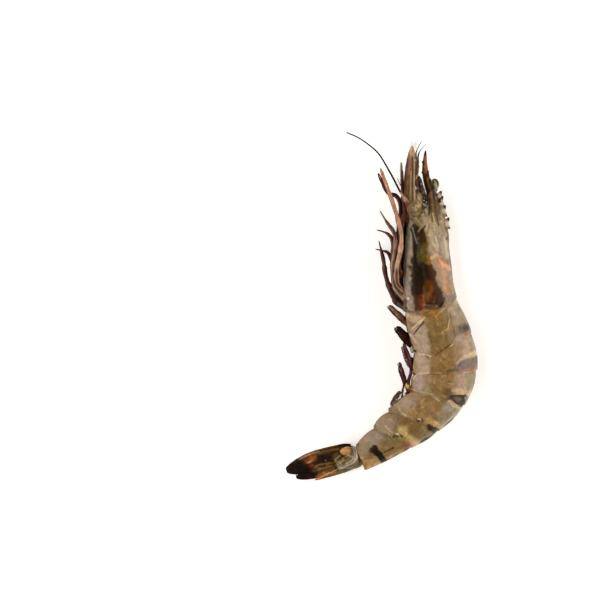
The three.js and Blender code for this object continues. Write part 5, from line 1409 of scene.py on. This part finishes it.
# %% Skins and strands at the roots of the swimming legs
ROOT_SKINS = [  # centre, half sizes across and along, colour
    ((13.2, -18.7, 13.6), 0.9, 2.0, "#b9aca0"), ((14.6, -18.5, 14.6), 0.6, 0.9, "#b9a238"),
    ((14.2, -26.6, 13.8), 0.75, 1.6, "#c4b878"), ((13.2, -23.8, 14.4), 0.9, 1.5, "#1d120e"),
    ((11.5, -35.0, 13.4), 1.1, 1.6, "#c0a850"), ((12.8, -36.5, 13.6), 1.0, 0.8, "#94441c"),
    ((10.3, -32.6, 12.6), 0.7, 1.5, "#2e1712"),
]
STRANDS = [  # path along the belly, rows, thickness and colour
    ([(9.5, -16.3, 13.4), (11.2, -20.2, 14), (12.8, -24.6, 14.2), (12.7, -29.5, 14.2), (11.7, -33.4, 13.8),
      (11.9, -37.8, 13.4)], 90, 0.75, "#4a2024"),
    ([(6.7, -9.7, 13), (8.6, -12.3, 13.6), (11.2, -14.1, 14), (14.3, -17.6, 14.2)], 60, 0.6, "#1c0c0a"),
    ([(8.4, -26.4, 12.6), (9.2, -30.8, 13), (10.8, -34.8, 13.4)], 50, 0.3, "#5a3230"),
    ([(7.9, -25.1, 12), (7.7, -28.6, 12.4), (9.5, -33.4, 13), (9.2, -37.0, 13), (8.8, -40.0, 12.6)],
     70, 0.42, "#47191c"),
    ([(13.9, -23.8, 13.6), (13.2, -27.3, 13.8), (14.0, -29.5, 13.8)], 40, 0.55, "#1f120e"),
    ([(13.9, -33.0, 13.6), (13.0, -36.1, 13.6), (10.3, -38.7, 13)], 40, 0.5, "#3a1b18"),
]
strands, colours = [], []
for k, (points, count, thick, code) in enumerate(STRANDS):
    rows = tube_rows(curve(points, count), thick * rounded(count, 0.8, 0.8, 0.1), thick, 20)
    strands.append(loft(bumpy(rows, 0.25, 0.9, 160 + k)))
    colours.append(limb_colours(strands[-1], (code, "#6f4044", "#160808"), painted_highlight=0.15))
make_piece("swimmer_strands", merge(*strands), np.concatenate(colours), SWIMMER_CHITIN)
skins, colours = [], []
for k, (centre, wide, long, code) in enumerate(ROOT_SKINS):
    skins.append(loft(bumpy(egg(centre, (wide, long, wide), (-0.2, 1), 24, 24), 0.3, 1.2, 155 + k)))
    colours.append(paint(skins[-1][0], code, [], 0.5, 158))
make_piece("swimmer_root_skins", merge(*skins), np.concatenate(colours), LIMB_CHITIN)
print("strands and skins:", len(strands), len(skins))

# %% [markdown]
# ## The tail spike and the four blades
#
# The tail ends in a pointed spike, the telson, between two pairs of blades that fold
# over it. The blades are stiff leaves with a raised rib, dark at the end and fringed with
# hairs, and each turns on a round knob beside the last ring. The spike is a shallow roof
# with a groove along the top.

# %% Tail spike
SPIKE_ROWS = 80
taper = (1 - np.linspace(0, 1, SPIKE_ROWS)[:, None]) ** 0.6 + 0.08
path = even_path([[-9.9, -69.2, 4.3], [-16.2, -72.2, 4.3], [-22.9, -74.6, 4.2], [-29.2, -77, 4]],
                 SPIKE_ROWS)
angle = circle(40)
groove = 1 - 0.3 * ridge(angle, np.pi / 2, 0.25)
rows = sweep(path, np.cos(angle) * 1.7 * taper, np.sin(angle) * groove * 2.2 * taper)
spike = loft(bumpy(rows, 0.1, 1.5, 160))
SPIKE_STROKES = [
    ([(-8.6, -69.5), (-13.9, -71.3), (-19.1, -73.0)], 2.2, "#6f6843", 0.85),
    ([(-20.9, -73.7), (-24.4, -75.2), (-28.8, -77.2)], 1.5, "#b56e38", 0.95),
    ([(-20.0, -72.4), (-27.9, -76.3)], 0.4, "#dcb88c", 0.9),
    ([(-9.5, -71.3), (-16.9, -74.1), (-25.3, -75.7)], 0.5, "#33291a", 0.8),
    ([(-24.4, -74.8), (-27.5, -76.3)], 0.3, "#e09a5c", 0.8),
]
make_piece("spike_shell", spike, paint(spike[0], "#77644a", SPIKE_STROKES, 0.5, 161), BLADE_CHITIN,
           ["spike"])

# %% Tail blades
BLADES = {
    # half width, knob radius, path from hinge to tip
    "uropod_outer_left": (
        4.2, 1.9, [[-15.6, -64, 8.2], [-19, -65.2, 8.5], [-27, -68, 8.2], [-41.9, -72.6, 7.2]]),
    "uropod_inner_left": (
        3.3, 0.7, [[-13.6, -67.6, 7.4], [-19, -69.2, 7.1], [-27, -72.2, 6.5], [-37.6, -75.5, 5.6]]),
    "uropod_inner_right": (
        3.3, 0.5, [[-13.6, -67, 1.9], [-19, -68.8, 1.9], [-27, -71.8, 2], [-37, -75.4, 2.2]]),
    "uropod_outer_right": (
        3.9, 0.9, [[-13.2, -63, 1.2], [-17, -63.6, 0.7], [-27, -67.4, 0.6], [-41, -72, 0.6]]),
}
BLADE_STROKES = [
    # dark root, bright thin rim on the outer side with olive below it
    ([(-17.4, -60.5), (-15.2, -60.0), (-12.1, -60.7)], 0.8, "#2c2614", 0.95),
    ([(-19.1, -61.6), (-27.1, -63.6), (-33.2, -66.0), (-36.3, -67.8)], 0.45, "#b5804e", 0.95),
    ([(-19.6, -62.7), (-26.6, -64.9), (-30.6, -66.3)], 1.0, "#6a4c26", 0.85),
    # dark middle with brown and olive streaks
    ([(-20.9, -66.4), (-27.9, -68.2)], 2.8, "#281a12", 0.95),
    ([(-27.9, -66.4), (-25.3, -66.0)], 1.1, "#1e1a1c", 0.8),
    ([(-20.0, -66.4), (-18.3, -70.8)], 1.7, "#5a4a26", 0.85),
    ([(-22.2, -71.3), (-29.7, -73.0)], 1.6, "#5c4120", 0.9),
    ([(-22.7, -68.9), (-28.8, -70.4)], 0.35, "#8a6230", 0.7),
    ([(-21.8, -70.4), (-27.9, -72.2)], 0.35, "#9a7038", 0.75),
    ([(-20.0, -68.6), (-24.4, -70.0)], 0.3, "#79602e", 0.7),
    ([(-18.3, -66.0), (-20.5, -67.8), (-19.1, -69.1)], 0.35, "#a48a58", 0.8),
    ([(-24.6, -68.0)], 0.35, "#8d8c96", 0.8),
    # orange patches
    ([(-29.7, -66.9), (-33.7, -68.5)], 1.3, "#94552c", 0.9),
    ([(-30.6, -68.2), (-32.8, -69.3)], 0.4, "#c98a50", 0.7),
    ([(-30.4, -70.2), (-32.3, -71.0)], 0.7, "#98381a", 0.85),
    ([(-21.3, -72.6), (-24.4, -73.9)], 0.9, "#6e5a2c", 0.8),
    ([(-24.9, -73.7), (-28.4, -75.5)], 0.8, "#a86030", 0.85),
    ([(-19.1, -72.0), (-24.0, -74.2), (-27.1, -75.8)], 0.3, "#d8b080", 0.9),
    ([(-29.3, -71.1), (-27.1, -71.3)], 0.5, "#6e5c3a", 0.8),
    # nearly black ends
    ([(-35.4, -70.2), (-41.1, -72.2)], 3.2, "#180f08", 1.0),
    ([(-31.0, -74.4), (-37.6, -76.1)], 3.2, "#1a0d0c", 1.0),
    ([(-33.2, -71.7), (-36.7, -73.9)], 2.4, "#150d0b", 1.0),
]
KNOB_STROKES = [
    ([(-17.4, -63.4), (-15.2, -63.8)], 2.0, "#c88e54", 0.95),
    ([(-13.4, -62.5), (-13.0, -65.6)], 0.6, "#47331c", 0.6),
]
BLADE_ROWS, BLADE_COLUMNS = 120, 64
s = np.linspace(0, 1, BLADE_ROWS)[:, None]
breadth = np.sin(np.pi * np.minimum(0.12 + 0.86 * s, 0.985)) ** 0.5 * (0.78 + 0.3 * smooth(0.1, 0.7, s))
angle = circle(BLADE_COLUMNS)
place = np.cos(angle)  # -1 to 1 across the blade
ribs = 0.34 + 0.2 * ridge(place, 0.1, 0.07) + 0.12 * ridge(place, 0.78, 0.06) \
    + 0.1 * ridge(place, -0.6, 0.07)
thick = np.sin(angle) * ribs * rounded(BLADE_ROWS, 0.4, 0.7, 0.06)[:, None]
blade_rows = []
for name, (half, knob, points) in BLADES.items():
    rows = sweep(even_path(points, BLADE_ROWS), place * half * breadth, thick)
    rows[..., 2] += 0.45 * (1 - place ** 2) * np.sin(np.pi * s) - 0.2  # arched across and along
    leaf = loft(bumpy(rows, 0.09, 1.6, 165))
    centre = np.array(points[0]) - [0, 0, 0.25]
    ball = loft(bumpy(egg(centre, (knob, knob * 1.6, knob * 0.7), (1, 0.15), 30, 40), 0.2, 1.6, 166))
    colours = np.concatenate([paint(leaf[0], "#3e2a18", BLADE_STROKES, 0.6, 167),
                              paint(ball[0], "#7d6a34", KNOB_STROKES, 0.5, 168)])
    # The right blades lie under the left ones, so their colours are darkened as painted shade.
    painted_shade = 1.0 if "left" in name else 0.55
    make_piece(f"{name}_blade", merge(leaf, ball), colours * painted_shade, BLADE_CHITIN, [name])
    blade_rows.append(rows)
print("blades:", list(BLADES))

# %% Dark filler between the blades: painted shade in the gap
ends = rounded(40, 0.8, 0.9, 0.2)
path = curve([(-27.5, -72.2, 6.6), (-32.3, -73.4, 6.4), (-37.4, -74.4, 6.2)], 40)
gap_shade = loft(tube_rows(path, 0.9 * ends, 0.7 * ends, 20))
make_piece("tail_gap_shade", gap_shade, paint(gap_shade[0], "#170e0b", [], 0.5, 169), BLADE_CHITIN)

# %% Wrinkled skin at the roots of the blades
count = 90
path = curve([(-7.7, -66.0, 5.8), (-11.7, -66.9, 6.2), (-15.6, -68.2, 6.2), (-20.9, -70.4, 5.4)], count)
ends = rounded(count, 0.5, 1, 0.3)
rows = bumpy(tube_rows(path, eased([3.6, 4.7, 4.0, 2.6], count) * ends, 2.5 * ends, 90), 0.3, 1.8, 170)
WRINKLES = [
    [(-11.9, -62.0), (-10.8, -64.2), (-10.9, -66.9), (-12.5, -69.1), (-15.2, -70.4), (-19.1, -72.2),
     (-20.9, -73.0)],
    [(-12.8, -62.5), (-11.7, -64.7), (-11.8, -66.9), (-13.9, -68.6), (-16.9, -70.4), (-20.0, -71.7)],
    [(-14.7, -65.8), (-12.5, -66.4), (-13.0, -68.2), (-15.6, -69.5)],
    [(-17.4, -66.9), (-16.1, -67.8), (-18.3, -69.1), (-16.9, -70.0)],
]
skin = loft(pushed(rows, relief(rows, [(path, 0.45, 0.22) for path in WRINKLES])))
SKIN_STROKES = [
    ([(-15.6, -67.3), (-19.1, -69.5)], 2.2, "#6f5e38", 0.8),
    ([(-12.1, -70.4), (-15.6, -72.2)], 1.6, "#6d6642", 0.8),
    ([(-11.7, -59.4), (-10.3, -62.0)], 1.2, "#7a4a44", 0.8),
    ([(-9.9, -61.6), (-9.7, -68.6)], 0.7, "#1d150e", 0.9),
    (WRINKLES[0], 0.45, "#c4b4ae", 0.9), (WRINKLES[1], 0.35, "#a8968c", 0.7),
    (WRINKLES[2], 0.35, "#b8a8a0", 0.7), (WRINKLES[3], 0.35, "#a08c60", 0.8),
    ([(-14.7, -66.4), (-16.1, -67.3)], 0.4, "#3c2e1a", 0.8),
]
make_piece("tail_skin", skin, paint(skin[0], "#7a6844", SKIN_STROKES, 0.4, 171), TISSUE,
           ["spike"])

# %% [markdown]
# ## Hairs
#
# Short stiff hairs fringe the feeler scales, the swimming legs, the tail blades and the
# lower edges of the shells. There are a few hundred, so they aren't drawn one by one: each
# fringe is a line through the roots, and a node tree walks along the line and sets a thin
# three-sided cone on each point, turned to the lean that the line carries there, with
# some scatter in its turn and length. The result is kept as a plain mesh.

# %% A tree that sets hairs along a line
def fringe_tree(name, material):
    """A tree that sets hairs of a finish along a line."""
    tree = bpy.data.node_groups.new(name, "GeometryNodeTree")
    tree.interface.new_socket("Geometry", in_out="INPUT", socket_type="NodeSocketGeometry")
    for label, kind in (("Count", "Int"), ("Length", "Float"), ("Radius", "Float"), ("Scatter", "Float"),
                        ("Seed", "Int")):
        tree.interface.new_socket(label, in_out="INPUT", socket_type="NodeSocket" + kind)
    tree.interface.new_socket("Geometry", in_out="OUTPUT", socket_type="NodeSocketGeometry")
    start = add_node(tree, "NodeGroupInput").outputs
    end = add_node(tree, "NodeGroupOutput")
    line = add_node(tree, "GeometryNodeMeshToCurve", {}, {"Mesh": start["Geometry"]})
    roots = add_node(tree, "GeometryNodeResampleCurve", {"mode": "COUNT"},
                     {"Curve": line.outputs["Curve"], "Count": start["Count"]})
    lean = add_node(tree, "GeometryNodeInputNamedAttribute", {"data_type": "FLOAT_VECTOR", "Name": "lean"})
    jitter = add_node(tree, "FunctionNodeRandomValue", {"data_type": "FLOAT_VECTOR", 0: (-1, -1, -1),
                      1: (1, 1, 1)}, {"Seed": start["Seed"]})
    wild = add_node(tree, "ShaderNodeVectorMath", {"operation": "SCALE"},
                    {0: jitter.outputs["Value"], "Scale": start["Scatter"]})
    way = add_node(tree, "ShaderNodeVectorMath", {"operation": "ADD"},
                   {0: lean.outputs["Attribute"], 1: wild.outputs["Vector"]})
    turn = add_node(tree, "FunctionNodeAlignRotationToVector", {"axis": "Z"},
                    {"Vector": way.outputs["Vector"]})
    hair = add_node(tree, "GeometryNodeMeshCone", {"Vertices": 3, "Side Segments": 2,
                    "Radius Top": 0.02 * MM}, {"Radius Bottom": start["Radius"], "Depth": start["Length"]})
    size = add_node(tree, "FunctionNodeRandomValue", {"data_type": "FLOAT", 2: 0.55, 3: 1.15},
                    {"Seed": start["Seed"]})
    hairs = add_node(tree, "GeometryNodeInstanceOnPoints", {},
                     {"Points": roots.outputs["Curve"], "Instance": hair.outputs["Mesh"],
                      "Rotation": turn.outputs["Rotation"], "Scale": size.outputs[1]})
    real = add_node(tree, "GeometryNodeRealizeInstances", {}, {"Geometry": hairs.outputs["Instances"]})
    dressed = add_node(tree, "GeometryNodeSetMaterial", {"Material": material},
                       {"Geometry": real.outputs["Geometry"]})
    tree.links.new(dressed.outputs["Geometry"], end.inputs["Geometry"])
    return tree


# All hairs share one plain finish, dull and light grey, that only scatters light. On the
# animal they are brown.
DRY_HAIR = bpy.data.materials.new("dry_hair")
DRY_HAIR.use_nodes = True
surface = DRY_HAIR.node_tree.nodes["Principled BSDF"]
surface.inputs["Base Color"].default_value = (*linear("#e7e7e7"), 1)
surface.inputs["Roughness"].default_value = 1.0
surface.inputs["Specular IOR Level"].default_value = 0.0
FRINGE = fringe_tree("fringe", DRY_HAIR)


def fringe(name, lines, count, length, radius, scatter, seed):
    """Hairs on several lines of roots, each with one lean or with a lean for each root."""
    points, faces = [], []
    for k, (roots, leans) in enumerate(lines):
        roots, leans = np.asarray(roots, float), np.asarray(leans, float)
        mesh = bpy.data.meshes.new(f"{name}_{k}")
        mesh.from_pydata((roots * MM).tolist(), [(i, i + 1) for i in range(len(roots) - 1)], [])
        lean = mesh.attributes.new("lean", "FLOAT_VECTOR", "POINT")
        lean.data.foreach_set("vector", np.broadcast_to(leans, roots.shape).ravel())
        line = bpy.data.objects.new(f"{name}_{k}", mesh)
        bpy.context.scene.collection.objects.link(line)
        grow = line.modifiers.new("fringe", "NODES")
        grow.node_group = FRINGE
        values = {"Count": count, "Length": length * MM, "Radius": radius * MM, "Scatter": scatter,
                  "Seed": seed + k}
        for item in FRINGE.interface.items_tree:
            if item.in_out == "INPUT" and item.name in values:
                grow[item.identifier] = values[item.name]
        bpy.context.view_layer.update()
        evaluated = line.evaluated_get(bpy.context.evaluated_depsgraph_get())
        grown = bpy.data.meshes.new_from_object(evaluated)
        faces += [tuple(i + len(points) for i in f.vertices) for f in grown.polygons]
        points += [(v.co.x, v.co.y, max(v.co.z, 0)) for v in grown.vertices]
        bpy.data.objects.remove(line)
    whole = bpy.data.meshes.new(name)
    whole.from_pydata(points, [], faces)
    whole.materials.append(DRY_HAIR)
    piece = bpy.data.objects.new(name, whole)
    bpy.context.scene.collection.objects.link(piece)
    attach(piece, "root")
    return len(faces)


# %% Fringes
# hairs and bristles on the tips of the feeler scales
tip_line = [((12.4, 67.8, 16.1), (13.0, 70.0, 16.2), (14.0, 70.4, 16.2), (14.9, 68.2, 16.1)),
            ((-0.1, 1, 0.0), (0.05, 1, 0.05), (0.4, 1, 0.05), (0.6, 1, 0.0))]
total = fringe("scale_hairs", [tip_line], 16, 4.2, 0.24, 0.16, 3)
total += fringe("scale_bristles", [tip_line], 9, 5.0, 0.24, 0.2, 5)

# bristles on the first four pairs of swimming legs
lines = [(path[10::6] + [-0.5, 0, 0.2], (-1.0, 0.75, 0.25 if "left" in name else -0.1))
         for name, path in swimmer_paths.items() if name[-1] != "5"]
total += fringe("swimmer_hairs", lines, 30, 1.9, 0.12, 0.6, 7)

# fringes on both edges of the tail blades, near their ends
lines = [(rows[100:118:3, column], lean) for rows in blade_rows
         for column, lean in ((0, (-0.9, 0.1, 0)), (BLADE_COLUMNS // 2, (-0.9, -0.5, 0)))]
total += fringe("blade_hairs", lines, 16, 1.0, 0.09, 0.3, 11)

# short bristles along the lower edges of the rings, rear ones first
lines = [([(10.1, -38.3, 12.4), (8.4, -39.8, 12.2), (6.6, -41.8, 11.8), (5.1, -44.0, 11.4),
           (2.6, -47.3, 10.8)], (-0.8, 0.8, 0.1)),
         ([(13.0, -19.4, 13), (13.4, -24.6, 13), (13.2, -29.9, 13), (12.5, -35.2, 12)], (-1, 0.3, 0.1))]
total += fringe("flap_hairs", lines, 20, 1.3, 0.13, 0.4, 19)
print("hair faces:", total)

# %% [markdown]
# ## Table, light and camera
#
# The prawn lies on a plain white table that is lit a little past white. Two broad soft
# panels stand on either side of it, low enough that the wet shell mirrors them as narrow
# pale strips along its shoulders, and nothing bright hangs straight above, so the pigment
# between the strips keeps its depth. The camera looks straight down from 1.2 m.

# %% Table
bpy.ops.mesh.primitive_plane_add(size=6, location=(0, 0, 0))
table = bpy.context.object
table.name = "table"
table_finish = bpy.data.materials.new("white_table")
table_finish.use_nodes = True
surface = table_finish.node_tree.nodes["Principled BSDF"]
surface.inputs["Base Color"].default_value = (0.95, 0.95, 0.95, 1)
surface.inputs["Emission Color"].default_value = (1, 1, 1, 1)
surface.inputs["Emission Strength"].default_value = 0.3  # a table that glows a little keeps shadows faint
surface.inputs["Roughness"].default_value = 0.9
surface.inputs["Specular IOR Level"].default_value = 0.0
table.data.materials.append(table_finish)

# %% Light
WARM_WHITE = (1.0, 0.955, 0.88)
TARGET_X, TARGET_Z = 0.015, 0.01  # the middle of the shell


def panel(name, side_angle, size, distance, power):
    """A soft panel in the XZ plane, side_angle degrees off the zenith, facing the prawn."""
    lamp = bpy.data.lights.new(name, "AREA")
    lamp.shape = "RECTANGLE"
    lamp.size, lamp.size_y = size
    lamp.energy = power
    lamp.color = WARM_WHITE
    place = bpy.data.objects.new(name, lamp)
    angle = np.radians(side_angle)
    place.location = (TARGET_X + distance * np.sin(angle), 0, TARGET_Z + distance * np.cos(angle))
    place.rotation_euler = (0, angle, 0)
    place.visible_camera = False
    bpy.context.scene.collection.objects.link(place)
    return place


panel("panel_right", 58, (0.71, 1.4), 0.7, 8.2)
panel("panel_left", -48, (0.73, 1.4), 0.7, 8.2)

# %% Room
world = bpy.data.worlds.new("room")
bpy.context.scene.world = world
world.use_nodes = True
background = world.node_tree.nodes["Background"]
background.inputs["Color"].default_value = (1, 1, 1, 1)
background.inputs["Strength"].default_value = 0.12

# %% Camera
VIEW_WIDTH, VIEW_DISTANCE, SENSOR_MM = 0.264, 1.2, 36
VIEW_CENTRE, CAMERA_HEIGHT = (-0.03586, 0.00264), 1.21
camera = bpy.data.objects.new("camera", bpy.data.cameras.new("camera"))
camera.data.sensor_width = SENSOR_MM
camera.data.lens = SENSOR_MM * VIEW_DISTANCE / VIEW_WIDTH
camera.location = (*VIEW_CENTRE, CAMERA_HEIGHT)
bpy.context.scene.collection.objects.link(camera)
bpy.context.scene.camera = camera
bpy.context.scene.view_settings.view_transform = "Standard"
